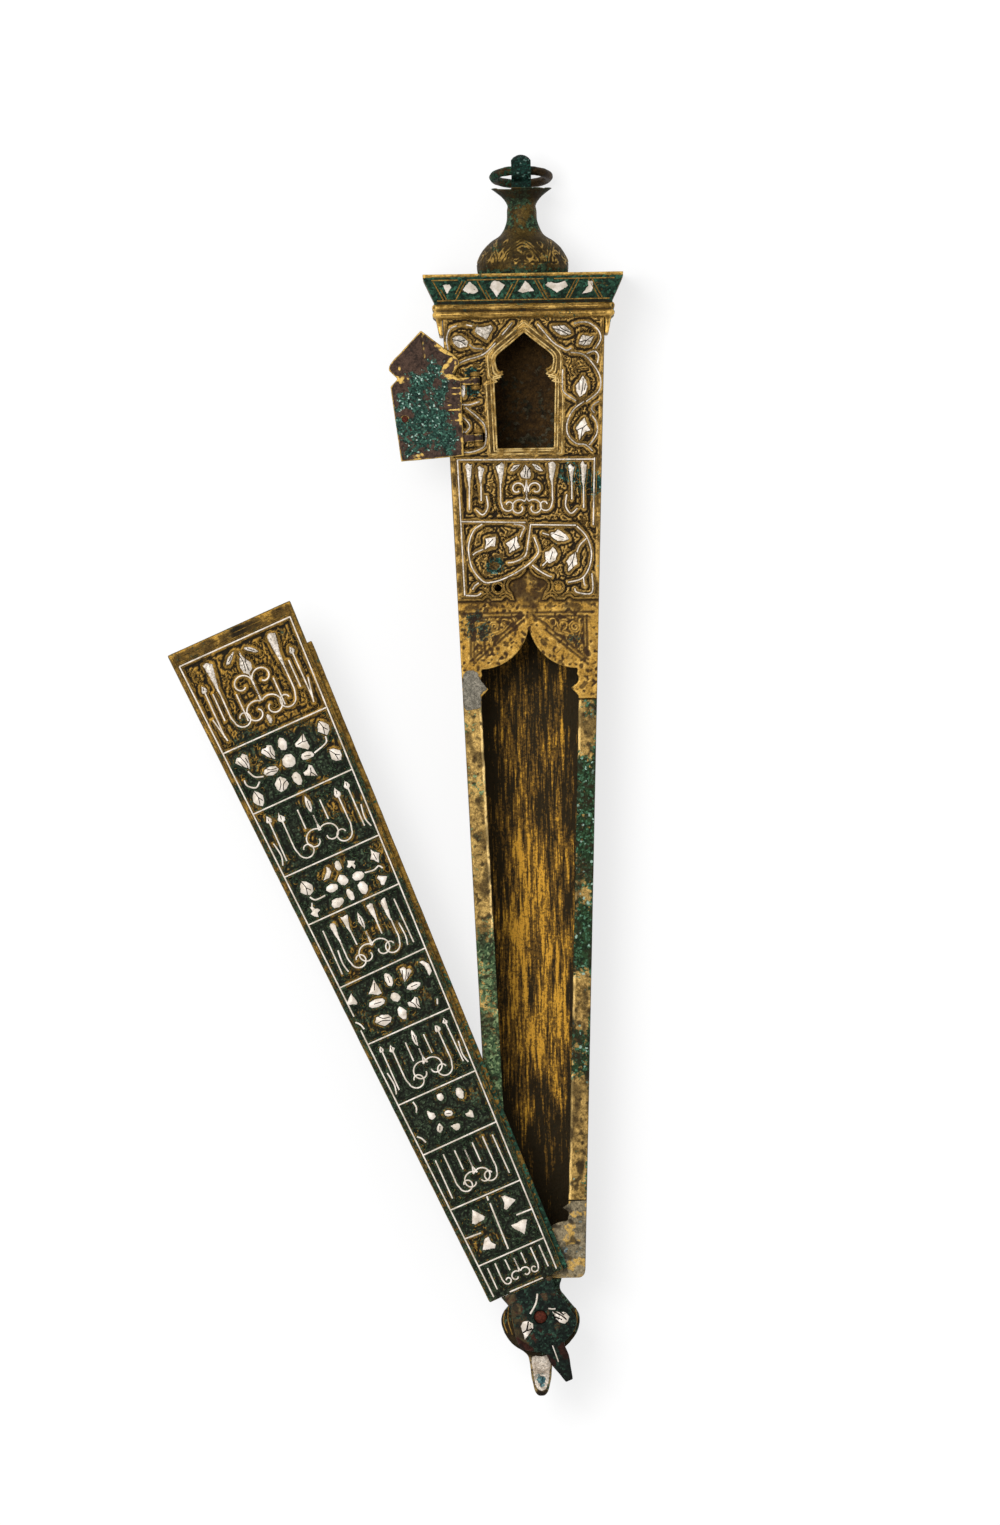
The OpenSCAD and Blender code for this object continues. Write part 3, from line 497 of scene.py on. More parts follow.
def makeSilver():
    made, tree, shader = newMaterial("wornSilver")
    marks = placeGroup(tree, cutMarks, Scale=1900.0)
    colour = addMix(tree, marks["Tone"], tint("#b7ab9a"), tint("#dcd2c6"))
    dull = addMath(tree, "MULTIPLY_ADD", addMath(tree, "SUBTRACT", marks["Height"], 0.5), 1.6,
                   addAttribute(tree, "tarnish"))
    colour = addMix(tree, addRange(tree, dull, 0.25, 0.8), colour, tint("#7d7466"))
    rim = addRange(tree, addAttribute(tree, "rim"), 0.25, 0.9)
    dark = addMath(tree, "MAXIMUM", addMath(tree, "MULTIPLY", marks["Nick"], 0.8), rim)
    colour = addMix(tree, dark, colour, tint("#2c221a"))
    tree.links.new(colour, shader.inputs["Base Color"])
    shader.inputs["Metallic"].default_value = 0.25
    tree.links.new(addRange(tree, marks["Height"], 0.3, 0.7, 0.42, 0.6), shader.inputs["Roughness"])
    addBump(tree, shader, marks["Height"], 0.06)
    return made


skins = {name: makeMetal(name) for name in metalFinishes}
skins["troughStreaks"] = makeTroughSkin()
skins["wornSilver"] = makeSilver()
print("finishes made:", len(skins))


# Mesh helpers

def addObject(name, mesh):
    piece = bpy.data.objects.new(name, mesh)
    scene.collection.objects.link(piece)
    return piece


def pointsOf(mesh):
    co = np.empty(len(mesh.vertices) * 3)
    mesh.vertices.foreach_get("co", co)
    return co.reshape(-1, 3) / mm


def normalsOf(mesh):
    found = np.empty(len(mesh.vertices) * 3)
    mesh.vertex_normals.foreach_get("vector", found)
    return found.reshape(-1, 3)


def movePoints(mesh, co):
    mesh.vertices.foreach_set("co", (co * mm).ravel())
    mesh.update()


def brand(mesh, name, values):
    mark = mesh.attributes.get(name) or mesh.attributes.new(name, "FLOAT", "POINT")
    mark.data.foreach_set("value", np.asarray(values, np.float32))


def markOf(mesh, name):
    found = np.zeros(len(mesh.vertices), np.float32)
    mesh.attributes[name].data.foreach_get("value", found)
    return found


def sinkPoints(mesh, co, depth):
    movePoints(mesh, co - np.array((0, 0, 1)) * depth[:, None])


def blot(x, y, inner, outer):
    # 1 in a round stain, 0 well outside it
    return 1 - ramp(np.hypot(x, y), inner, outer)


def meshFrom(shell, name):
    made = bpy.data.meshes.new(name)
    shell.to_mesh(made)
    shell.free()
    return made


def ramp(values, low, high):
    t = np.clip((values - low) / (high - low), 0, 1)
    return t * t * (3 - 2 * t)


def cloud(co, size, seed=0):
    # Soft noise from about -1 to 1, with its size in mm
    place = np.asarray(co, float) / size + np.array((13.7, 7.9, 3.1)) * seed
    cell = np.floor(place).astype(np.int64)
    part = place - cell
    fade = part ** 3 * (part * (part * 6 - 15) + 10)
    total = np.zeros(len(place))
    for corner in np.ndindex(2, 2, 2):
        at = (cell + corner) * (73856093, 19349663, 83492791)
        mixed = (at[:, 0] ^ at[:, 1] ^ at[:, 2]) & 0xffffffff
        mixed = ((mixed ^ mixed >> 15) * 668265263) & 0xffffffff
        mixed = ((mixed ^ mixed >> 13) * 374761393) & 0xffffffff
        lean = np.column_stack([(mixed >> shift & 1023) / 511.5 - 1 for shift in (2, 12, 22)])
        share = np.prod(np.where(np.array(corner) == 1, fade, 1 - fade), axis=1)
        total += share * (lean * (part - corner)).sum(1)
    return total * 2.2


def upright(flat):
    return np.column_stack([flat, np.zeros(len(flat))])


def tendrils(flat, size, turns, seed):
    # Winding ridges as an engraver leaves them: 1 on a ridge, 0 between
    co = upright(flat)
    co[:, 0] += cloud(upright(flat), size * 0.8, seed + 5) * size * 0.35
    co[:, 1] += cloud(upright(flat), size * 0.8, seed + 6) * size * 0.35
    return 1 - np.abs(np.sin(np.pi * turns * cloud(co, size, seed)))


def bulgeOf(mesh, passes):
    # How far each point stands out from its neighbours, evened out a few times
    count = len(mesh.vertices)
    ends = np.empty(len(mesh.edges) * 2, np.int32)
    mesh.edges.foreach_get("vertices", ends)
    a, b = ends.reshape(-1, 2).T
    around = np.maximum(np.bincount(a, minlength=count) + np.bincount(b, minlength=count), 1)

    def evened(values):
        total = np.bincount(a, values[b], count) + np.bincount(b, values[a], count)
        return total / around

    co = pointsOf(mesh)
    mean = np.column_stack([evened(co[:, k]) for k in range(3)])
    step = np.linalg.norm(co[a] - co[b], axis=1).mean()
    bulge = ((co - mean) * normalsOf(mesh)).sum(1) / step
    for _ in range(passes):
        bulge = 0.5 * bulge + 0.5 * evened(bulge)
    return bulge


def plantLines(paths, step=0.12):
    # Search tree of close spots along drawn lines
    spots = [q for path in paths for a, b in zip(path, path[1:]) for q in straight(a, b, step)]
    tree = KDTree(len(spots))
    for k, q in enumerate(spots):
        tree.insert((q[0], q[1], 0), k)
    tree.balance()
    return tree


def nearPaths(flat, paths):
    # Distance in mm from each point to the nearest of the drawn lines
    tree = plantLines(paths)
    return np.array([tree.find((x, y, 0))[2] for x, y in flat.tolist()])


def finished(source, name):
    # Plain mesh of what an object's modifiers give
    view = bpy.context.evaluated_depsgraph_get()
    mesh = bpy.data.meshes.new_from_object(source.evaluated_get(view))
    mesh.name = name
    old = source.data
    bpy.data.objects.remove(source)
    (bpy.data.curves if isinstance(old, bpy.types.Curve) else bpy.data.meshes).remove(old)
    return mesh


def sideOf(y):
    # Half width of the box at a station
    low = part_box("trough")[0]
    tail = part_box("tail_plate")[1].x - (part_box("tail_plate")[1].y - low.y) * bodySlope
    return (tail + bodySlope * (y * mm - low.y)) / mm


def sideOfMany(y):
    start = sideOf(0.0)
    return start + bodySlope * np.asarray(y)


def castNode(node, name, voxel, passes, turn=Matrix()):
    # A node's solid as a casting: one even skin with softened edges
    mesh = nodes[node].data.copy()
    mesh.materials.clear()
    mesh.transform(turn)
    shell = bmesh.new()
    shell.from_mesh(mesh)
    bmesh.ops.remove_doubles(shell, verts=shell.verts, dist=0.001 * mm)
    shell.to_mesh(mesh)
    shell.free()
    blank = addObject(name + "Blank", mesh)
    skin = blank.modifiers.new("skin", "REMESH")
    skin.mode = "VOXEL"
    skin.voxel_size = voxel * mm
    soft = blank.modifiers.new("soften", "SMOOTH")
    soft.factor = 0.5
    soft.iterations = passes
    made = finished(blank, name)
    made.shade_smooth()
    return made


def dent(mesh, size, depth, seed):
    # Hammered and worn unevenness, only ever inwards
    co = pointsOf(mesh)
    push = np.clip(cloud(co, size, seed) * 0.5 + 0.5, 0, 1) * depth
    movePoints(mesh, co - normalsOf(mesh) * push[:, None])


def roundTail(mesh, radius):
    # Wears the two upright corners at the box's tail to a round lip
    co = pointsOf(mesh)
    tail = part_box("trough")[0].y / mm
    across = np.abs(co[:, 0]) - (sideOf(tail) - radius)
    along = tail + radius - co[:, 1]
    far = np.hypot(across, along)
    worn = (across > 0) & (along > 0) & (far > radius)
    pull = np.where(worn, radius / np.maximum(far, 1e-6), 1)
    co[:, 0] = np.where(worn, np.sign(co[:, 0]) * (sideOf(tail) - radius + across * pull), co[:, 0])
    co[:, 1] = np.where(worn, tail + radius - along * pull, co[:, 1])
    movePoints(mesh, co)


def showWear(mesh, gain=6.0, passes=3, dirtAndShade=5.0):
    bulge = bulgeOf(mesh, passes)
    brand(mesh, "wearAndSheen", np.clip(bulge * gain, 0, 1))
    brand(mesh, "grimeAndShade", np.clip(-bulge * dirtAndShade, 0, 0.9))


def castWorn(node, name, voxel, passes, gain, evened, *dents, turn=Matrix()):
    mesh = castNode(node, name, voxel, passes, turn)
    for size, depth, seed in dents:
        dent(mesh, size, depth, seed)
    showWear(mesh, gain, evened)
    return mesh


def seat(name, mesh, skin, body, slot, *stands):
    mesh.materials.clear()
    mesh.materials.append(skins[skin])
    piece = addObject(name, mesh)
    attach(piece, body)
    if stands:
        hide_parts(*stands)


# Drawn lines

def curveThrough(points, step=0.3, closed=False):
    # Smooth line through a few points, as many short pieces
    p = [Vector(q) for q in points]
    n = len(p)
    line = []
    for i in range(n if closed else n - 1):
        a, b, c, d = [p[k % n] if closed else p[min(max(k, 0), n - 1)] for k in (i - 1, i, i + 1, i + 2)]
        pieces = max(2, round((c - b).length / step))
        for k in range(pieces):
            t = k / pieces
            line.append(0.5 * (2 * b + (c - a) * t + (2 * a - 5 * b + 4 * c - d) * t ** 2
                               + (3 * b - a - 3 * c + d) * t ** 3))
    if not closed:
        line.append(p[-1])
    return [tuple(q) for q in line]


def straight(start, end, step=0.5):
    pieces = max(1, round(math.dist(start, end) / step))
    return [tuple(s + (e - s) * k / pieces for s, e in zip(start, end)) for k in range(pieces + 1)]


def arcLine(centre, radius, start, end, step=0.3):
    pieces = max(4, round(abs(math.radians(end - start)) * radius / step))
    angles = [math.radians(start + (end - start) * k / pieces) for k in range(pieces + 1)]
    return [(centre[0] + radius * math.cos(a), centre[1] + radius * math.sin(a)) for a in angles]


def beside(path, gap):
    # The same line drawn a little to its left (or right, for a negative gap)
    line = np.array(path, float)
    way = np.gradient(line, axis=0)
    way /= np.maximum(np.hypot(way[:, 0], way[:, 1]), 1e-9)[:, None]
    return [tuple(q) for q in line + gap * np.column_stack([-way[:, 1], way[:, 0]])]


def broken(path, dice, keep=0.9, stretch=16):
    # What is left of a line after wear, as separate stretches
    left, run = [], []
    lost = 0
    for q in path:
        if lost:
            lost -= 1
            continue
        run.append(q)
        if dice.random() > keep ** (1 / stretch):
            if len(run) > 3:
                left.append(run)
            run = []
            lost = dice.randint(2, 6)
    if len(run) > 3:
        left.append(run)
    return left


def spiral(centre, radius, start, turns, shrink=0.3, step=0.22):
    # Tendril that winds in; turns below 0 wind clockwise, angles in degrees
    pieces = max(10, round(abs(turns) * 2 * math.pi * radius * 0.65 / step))
    line = []
    for k in range(pieces + 1):
        t = k / pieces
        reach = radius * (1 - (1 - shrink) * t)
        angle = math.radians(start) + turns * 2 * math.pi * t
        line.append((centre[0] + reach * math.cos(angle), centre[1] + reach * math.sin(angle)))
    return line


def mirrored(path):
    return [(-q[0], *q[1:]) for q in path]


def onLid(x, r, z):
    return lidToWorld @ Vector((x * mm, r * mm, z * mm))


def onBox(x, y, z):
    return Vector((x * mm, y * mm, z * mm))


def dropOnto(mesh):
    # Finds the height of a piece's top at a place, in mm
    solid = BVHTree.FromPolygons([v.co for v in mesh.vertices], [p.vertices[:] for p in mesh.polygons])

    def heightAt(x, y):
        hit = solid.ray_cast(Vector((x * mm, y * mm, 1)), Vector((0, 0, -1)))[0]
        return hit.z / mm if hit else None

    return heightAt


def startTree(name, labels, result):
    # Node tree that takes lines, some values and a finish
    tree = bpy.data.node_groups.new(name, "GeometryNodeTree")
    for label, kind in [("Lines", "Geometry"), *[(label, "Float") for label in labels],
                        ("Finish", "Material")]:
        tree.interface.new_socket(label, in_out="INPUT", socket_type="NodeSocket" + kind)
    tree.interface.new_socket(result, in_out="OUTPUT", socket_type="NodeSocketGeometry")
    return tree, tree.nodes.new, tree.links.new, tree.nodes.new("NodeGroupInput").outputs


def endTree(tree, given, shape):
    # Real meshes leave the tree with their finish
    new, link = tree.nodes.new, tree.links.new
    real = new("GeometryNodeRealizeInstances")
    link(shape, real.inputs["Geometry"])
    coat = new("GeometryNodeSetMaterial")
    link(real.outputs["Geometry"], coat.inputs["Geometry"])
    link(given["Finish"], coat.inputs["Material"])
    link(coat.outputs["Geometry"], new("NodeGroupOutput").inputs[0])
    return tree


def buildWireTree():
    # Flat wire hammered along drawn lines, with an uneven width
    tree, new, link, given = startTree("hammeredWire", ("Width", "Height", "Unevenness", "Seed"), "Wire")

    level = new("GeometryNodeSetCurveNormal")
    level.mode = "Z_UP"
    link(given["Lines"], level.inputs["Curve"])
    waver = new("ShaderNodeTexNoise")
    waver.noise_dimensions = "4D"
    waver.inputs["Scale"].default_value = 700
    link(given["Seed"], waver.inputs["W"])
    swing = new("ShaderNodeMapRange")
    link(waver.outputs["Fac"], swing.inputs["Value"])
    swing.inputs["From Min"].default_value = 0.3
    swing.inputs["From Max"].default_value = 0.7
    for sign, socket in ((-1, "To Min"), (1, "To Max")):
        edge = new("ShaderNodeMath")
        edge.operation = "MULTIPLY_ADD"
        link(given["Unevenness"], edge.inputs[0])
        edge.inputs[1].default_value = sign
        edge.inputs[2].default_value = 1
        link(edge.outputs[0], swing.inputs[socket])
    girth = new("GeometryNodeSetCurveRadius")
    link(level.outputs["Curve"], girth.inputs["Curve"])
    link(swing.outputs["Result"], girth.inputs["Radius"])

    section = new("GeometryNodeCurvePrimitiveCircle")
    section.inputs["Resolution"].default_value = 8
    section.inputs["Radius"].default_value = 1
    size = new("ShaderNodeCombineXYZ")
    half = new("ShaderNodeMath")
    half.operation = "MULTIPLY"
    link(given["Width"], half.inputs[0])
    half.inputs[1].default_value = 0.5
    link(half.outputs[0], size.inputs["X"])
    link(given["Height"], size.inputs["Y"])
    size.inputs["Z"].default_value = 1
    flat = new("GeometryNodeTransform")
    link(section.outputs["Curve"], flat.inputs["Geometry"])
    link(size.outputs[0], flat.inputs["Scale"])

    sweep = new("GeometryNodeCurveToMesh")
    link(girth.outputs["Curve"], sweep.inputs["Curve"])
    link(flat.outputs["Geometry"], sweep.inputs["Profile Curve"])
    sweep.inputs["Fill Caps"].default_value = True
    return endTree(tree, given, sweep.outputs["Mesh"])


def buildBeadTree():
    # Round punch beads in a row along drawn lines
    tree, new, link, given = startTree("punchedBeads", ("Spacing", "Size", "Seed"), "Beads")
    spots = new("GeometryNodeCurveToPoints")
    spots.mode = "LENGTH"
    link(given["Lines"], spots.inputs["Curve"])
    link(given["Spacing"], spots.inputs["Length"])
    bead = new("GeometryNodeMeshIcoSphere")
    bead.inputs["Subdivisions"].default_value = 2
    link(given["Size"], bead.inputs["Radius"])
    varied = new("FunctionNodeRandomValue")
    varied.data_type = "FLOAT"
    varied.inputs[2].default_value = 0.7
    varied.inputs[3].default_value = 1.15
    link(given["Seed"], varied.inputs["Seed"])
    place = new("GeometryNodeInstanceOnPoints")
    link(spots.outputs["Points"], place.inputs["Points"])
    link(bead.outputs["Mesh"], place.inputs["Instance"])
    link(varied.outputs[1], place.inputs["Scale"])
    return endTree(tree, given, place.outputs["Instances"])


wireTree = buildWireTree()
beadTree = buildBeadTree()


def runAlong(name, tree, lines, **values):
    # Lines of 3-D points in metres, run through a node tree and made a plain mesh
    drawn = bpy.data.curves.new(name + "Lines", "CURVE")
    drawn.dimensions = "3D"
    for line in lines:
        closed = len(line) > 3 and (line[0] - line[-1]).length < 1e-7
        points = line[:-1] if closed else line
        spline = drawn.splines.new("POLY")
        spline.points.add(len(points) - 1)
        spline.use_cyclic_u = closed
        for spot, q in zip(spline.points, points):
            spot.co = (*q, 1)
    source = addObject(name + "Source", drawn)
    worked = source.modifiers.new("work", "NODES")
    worked.node_group = tree
    for item in tree.interface.items_tree:
        if item.in_out == "INPUT" and item.name in values:
            worked[item.identifier] = values[item.name]
    mesh = finished(source, name)
    mesh.shade_smooth()
    return mesh


def hammerWire(name, lines, skin, width, height, uneven, seed):
    return runAlong(name, wireTree, lines, Width=width * mm, Height=height * mm, Unevenness=uneven,
                    Seed=seed, Finish=skins[skin])


# Silver cut from sheet

cutShapes = {  # half-unit outlines, tip upwards
    "blob": [(0, -1), (0.75, -0.75), (1, 0), (0.7, 0.8), (0, 1), (-0.8, 0.7), (-1, -0.1), (-0.7, -0.75)],
    "oval": [(0, -1), (0.62, -0.72), (0.95, 0.05), (0.62, 0.78), (0, 1), (-0.65, 0.72), (-0.95, 0),
             (-0.6, -0.75)],
    "leaf": [(0, -1), (0.7, -0.55), (1, 0.05), (0.5, 0.6), (0, 1), (-0.55, 0.55), (-1, 0), (-0.65, -0.6)],
    "rhomb": [(0, -1), (0.6, -0.3), (1, -0.05), (0.45, 0.5), (0, 1), (-0.5, 0.45), (-1, -0.1), (-0.55, -0.4)],
    "fan": [(0.1, -1), (0.65, -0.3), (1, 0.5), (0.6, 0.95), (0.1, 0.8), (-0.45, 1), (-1, 0.6), (-0.6, -0.2)],
    "wedge": [(0, -1), (0.5, -0.1), (1, 0.85), (0.4, 1), (-0.4, 0.95), (-1, 0.9), (-0.5, -0.15)],
    "kite": [(0.05, -1), (0.9, 0.45), (0.75, 0.95), (0, 0.8), (-0.8, 1), (-0.95, 0.5)],
    "crescent": [(-1, -1), (0.2, -0.85), (0.95, -0.1), (0.8, 0.75), (0.1, 1), (0.05, 0.2), (-0.45, -0.3)],
    "trefoil": [(0.05, -1), (0.4, -0.35), (1, -0.1), (0.75, 0.45), (0.3, 0.4), (0.15, 1), (-0.4, 0.9),
                (-0.35, 0.3), (-1, 0.1), (-0.65, -0.5)],
    "drop": [(0, -1), (0.75, -0.8), (1, -0.25), (0.6, 0.25), (0.2, 0.65), (0, 1), (-0.2, 0.65), (-0.6, 0.25),
             (-1, -0.25), (-0.75, -0.8)],
}
veinCuts = {  # engraved lines in the same half units
    "none": [],
    "one": [[(-0.05, -0.5), (0.05, 0.45)]],
    "split": [[(-0.1, 0.95), (0.05, 0.1), (-0.25, -0.7)], [(0.05, 0.1), (0.5, -0.45)]],
    "fork": [[(0, 0.1), (0.05, -0.95)], [(0, 0.1), (-0.75, -0.25)], [(0.05, 0.1), (0.55, 0.5)]],
    "bars": [[(-0.55, 0.55), (-0.35, -0.4)], [(0.1, 0.8), (0.2, -0.2), (0.05, -0.8)],
             [(0.6, 0.35), (0.5, -0.35)]],
    "arcs": [[(-0.3, 0.8), (-0.1, 0.1), (-0.35, -0.75)], [(0.75, 0.5), (0.25, 0), (0.2, -0.8)]],
}


def cutOutline(kind, x, y, turn, length, width, dice, rough=0.09):
    # A hand-cut outline at its place, in mm
    c, s = math.cos(math.radians(turn)), math.sin(math.radians(turn))
    points = []
    for u, v in cutShapes[kind]:
        a, b = (u + dice.gauss(0, rough)) * width / 2, (v + dice.gauss(0, rough)) * length / 2
        points.append((x + a * c - b * s, y + a * s + b * c))
    line = [q for k, p in enumerate(points) for q in straight(p, points[(k + 1) % len(points)], 0.25)[:-1]]
    return [(p + dice.gauss(0, rough * 0.4), q + dice.gauss(0, rough * 0.4)) for p, q in line]


def cutVeins(kind, x, y, turn, length, width):
    c, s = math.cos(math.radians(turn)), math.sin(math.radians(turn))
    return [curveThrough([(x + (u * c * width - v * s * length) / 2, y + (u * s * width + v * c * length) / 2)
                          for u, v in cut], 0.2) for cut in veinCuts[kind]]


def area(outline):
    return sum(a[0] * b[1] - b[0] * a[1] for a, b in zip(outline, outline[1:] + outline[:1])) / 2


def sheetPieces(name, outlines, place, heightAt, thick=0.15, bevel=0.06):
    # Silver sheet let into the ground: walls, a worn bevel and a flat top
    shell = bmesh.new()
    rim = shell.verts.layers.float.new("rim")
    for outline in outlines:
        if area(outline) < 0:
            outline = outline[::-1]
        ring = np.array(outline)
        way = np.roll(ring, -1, 0) - np.roll(ring, 1, 0)
        way /= np.maximum(np.hypot(way[:, 0], way[:, 1]), 1e-9)[:, None]
        inner = ring + bevel * np.column_stack([-way[:, 1], way[:, 0]])
        base = [heightAt(*q) for q in ring]
        levels = [(ring, -0.12, 1.0), (ring, thick - 0.06, 0.8), (inner, thick, 0.0)]
        loops = []
        for line, lift, edge in levels:
            loop = [shell.verts.new(place(q[0], q[1], z + lift)) for q, z in zip(line, base)]
            for v in loop:
                v[rim] = edge
            loops.append(loop)
        n = len(ring)
        for low, high in zip(loops, loops[1:]):
            for k in range(n):
                shell.faces.new((low[k], low[(k + 1) % n], high[(k + 1) % n], high[k]))
        shell.faces.new(loops[-1])
        shell.faces.new(loops[0][::-1])
    bmesh.ops.triangulate(shell, faces=[f for f in shell.faces if len(f.verts) > 4])
    bmesh.ops.recalc_face_normals(shell, faces=shell.faces)
    return meshFrom(shell, name)


def lifted(paths, place, heightAt, lift):
    return [[place(q[0], q[1], heightAt(q[0], q[1]) + lift) for q in path] for path in paths]


def level(height):
    return lambda x, y: height


def joinMeshes(name, meshes):
    shell = bmesh.new()
    for mesh in meshes:
        shell.from_mesh(mesh)
    made = meshFrom(shell, name)
    made.shade_smooth()
    return made


def seatWire(name, lines, skin, size, body, slot, *stands):
    # Size: width, height, unevenness, seed
    seat(name, hammerWire(name, lines, skin, *size), skin, body, slot, *stands)


def seatInlay(name, flat, strokes, place, height, body, node, width, uneven, seed):
    # Silver sheets and the hammered strokes between them as one piece
    thread = hammerWire(name + "Strokes", lifted(strokes, place, level(height), 0.06), "wornSilver",
                        width, 0.1, uneven, seed)
    seat(name, joinMeshes(name, [flat, thread]), "wornSilver", body, "silver", node)


setCamera()
setStudio()


# Trough

troughLook = {"voxel": 0.68, "floorTop": 1.6, "tailRound": 1.6, "tailHalf": 10.25, "wall": 1.8}


def makeTrough():
    mesh = castNode("trough", "troughCasting", troughLook["voxel"], 1)
    roundTail(mesh, troughLook["tailRound"])
    showWear(mesh, 3.0, 2)
    co, out = pointsOf(mesh), normalsOf(mesh)
    low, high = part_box("trough")
    half = (np.interp(co[:, 1], [low.y / mm, high.y / mm], [troughLook["tailHalf"], high.x / mm])
            - troughLook["wall"])
    inside = ((np.abs(co[:, 0]) < half + 0.3) & (co[:, 2] > troughLook["floorTop"] - 0.6)
              & (co[:, 1] > low.y / mm + 1))
    brand(mesh, "inside", inside)
    # Amber streak level of the floor: most along its middle stretch, less towards the walls and the tail end
    across = 1 - ramp(np.abs(co[:, 0] - 0.4) / half, 0.4, 0.88)
    along = ramp(co[:, 1], -92, -66) * (1 - ramp(co[:, 1], -24, -2))
    # The term that falls off towards the arch end is painted shade under the arch
    amberAndShade = (0.28 + 0.5 * along) * (0.3 + 0.7 * across) - 0.35 * (1 - across) - 0.25 * ramp(co[:, 1], 4, 30)
    amberAndShade += 0.45 * cloud(co * (1, 0.3, 1), 4, 3) - 0.7 * (1 - ramp(co[:, 1], -86, -60))
    # Painted shade: faces that do not face up, the walls, take the darkest tone
    amberAndShade = np.where(out[:, 2] > 0.5, amberAndShade, -0.55)
    brand(mesh, "amberAndShade", np.clip(amberAndShade, -0.8, 1.2))
    brand(mesh, "verdigris", np.clip(0.18 + 0.25 * cloud(co, 22, 8), 0, 0.6))
    seat("troughCasting", mesh, "troughStreaks", "box", "bronze", "trough")


def makeInside():
    for node, slot in (("ink_partition", "bronze"), ("ink_well", "dark_bronze")):
        mesh = castWorn(node, node + "Casting", 0.5, 1, 3.0, 2)
        brand(mesh, "verdigris", np.clip(0.2 + 0.3 * cloud(pointsOf(mesh), 6, 2), 0, 0.6))
        seat(node + "Casting", mesh, "sootBronze", "box", slot, node)
    mesh = castWorn("end_plate", "endPlateCasting", 0.32, 2, 4.0, 2)
    seat("endPlateCasting", mesh, "troughBronze", "box", "bronze", "end_plate")


makeTrough()
makeInside()
print("trough cast")


# Collar, finial, lug and ring

collarLook = {
    "voxel": 0.24,
    "triangles": [(-17.1, "kite", 2.6, 2.3), (-11.7, "fan", 3.0, 4.2), (-5.9, "kite", 3.2, 3.8),
                  (0.6, "wedge", 3.0, 3.9), (7.6, "kite", 2.8, 5.4), (14.6, "crescent", 3.2, 3.4)],
    "middleY": 110.0,
    "slant": 2.3,
    "zigzagGap": 0.75,
    "zigzagY": (107.5, 111.7),  # foot and head of the slanted lines
    "ends": (-20.4, 18.0),
    # Gold lines along the collar's ridges: painted highlights where the light catches them
    "highlightLines": [(104.0, 18.6), (104.5, 18.4), (105.55, 18.5), (106.0, 18.6), (107.35, 19.4), (111.9, 20.6)],
}


def makeCollar():
    look = collarLook
    mesh = castNode("collar", "collarCasting", look["voxel"], 2)
    dent(mesh, 3.0, 0.06, 4)
    showWear(mesh, 8.0, 2, 11.0)
    co, out = pointsOf(mesh), normalsOf(mesh)
    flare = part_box("collar_inlay")
    onFlare = (co[:, 1] > flare[0].y / mm - 1.6) & (co[:, 1] < flare[1].y / mm + 1.4)
    green = np.where(onFlare & (out[:, 2] > 0.5), 0.95, 0.12) + 0.18 * cloud(co, 5, 5)
    side = np.where(np.abs(out[:, 0]) > 0.6, 0.35, 0)
    brand(mesh, "verdigris", np.clip(green + side, 0, 1))
    brand(mesh, "ridge", np.where(co[:, 1] < 107.2,
                                  np.clip(0.3 + 0.5 * cloud(co * (0.3, 1, 1), 1.6, 3), 0, 0.8), 0))
    seat("collarCasting", mesh, "collarBronze", "box", "bronze", "collar")

    dice = random.Random(11)
    topOf = dropOnto(mesh)
    outlines = []
    for k, (x, kind, length, width) in enumerate(look["triangles"]):
        turn = 180 if k in (1, 3) else 0
        outlines.append(cutOutline(kind, x, look["middleY"] + (0.25 if turn else -0.1), turn, length * 0.9,
                                   width * 0.88, dice, 0.12))
    silver = sheetPieces("collarSilver", outlines, onBox, topOf, 0.12)
    seat("collarSilver", silver, "wornSilver", "box", "silver", "collar_inlay")

    lines = []
    xs = [q[0] for q in look["triangles"]]
    foot, head = look["zigzagY"]
    for k, (a, b) in enumerate(zip([look["ends"][0]] + xs, xs + [look["ends"][1]])):
        middle = (a + b) / 2
        lean = look["slant"] / 2 * (1 if k % 2 else -1)
        for gap in (-look["zigzagGap"] / 2, look["zigzagGap"] / 2):
            line = straight((middle - lean + gap, foot), (middle + lean + gap, head), 0.3)
            lines += broken(line, dice, 0.95 if k > 3 else 0.6)
    # Painted highlights: thin gold lines laid along the collar's ridges
    for y, reach in look["highlightLines"]:
        lines += broken(straight((-reach, y), (reach, y), 0.4), dice, 0.86)
    lines = [line for line in lines if all(topOf(*q) for q in line)]
    seatWire("collarZigzagAndHighlights", lifted(lines, onBox, topOf, 0.02), "rubbedRidgeAndSheen", (0.34, 0.1, 0.3, 2.0), "box",
             "brass")


finialLook = {
    "shape": [(0.98, 0), (1, 0.14), (0.875, 0.285), (0.69, 0.385), (0.465, 0.47), (0.35, 0.6),
              (0.325, 0.74), (0.315, 0.81), (0.43, 0.9), (0.665, 1)],
    "radius": 10.4,
    "length": 19.4,
    "dish": 1.3,
    "seatRadius": 3.43,
    "tenon": 3.0,
    "around": 252,
    "repeats": 6,
    "arches": [[(-5.2, 2.9), (-4.3, 4.8), (-2.5, 6.6), (0, 7.9)],
               [(-4.5, 2.8), (-3.7, 4.5), (-2.1, 6.1), (0, 7.1)],
               [(-3.5, 2.7), (-2.9, 4.3), (-1.6, 5.6), (0, 6.3)], [(-5.45, 7.9), (-4.75, 6.8), (-5.45, 5.7)],
               [(-5.45, 5.2), (-5.0, 4.4), (-5.45, 3.4)],
               [(-3.0, 2.6), (-2.4, 3.1), (-1.5, 2.5), (-0.5, 2.9)]],
    "scroll": (-1.5, 4.0, 1.35, 20, 1.3),
}


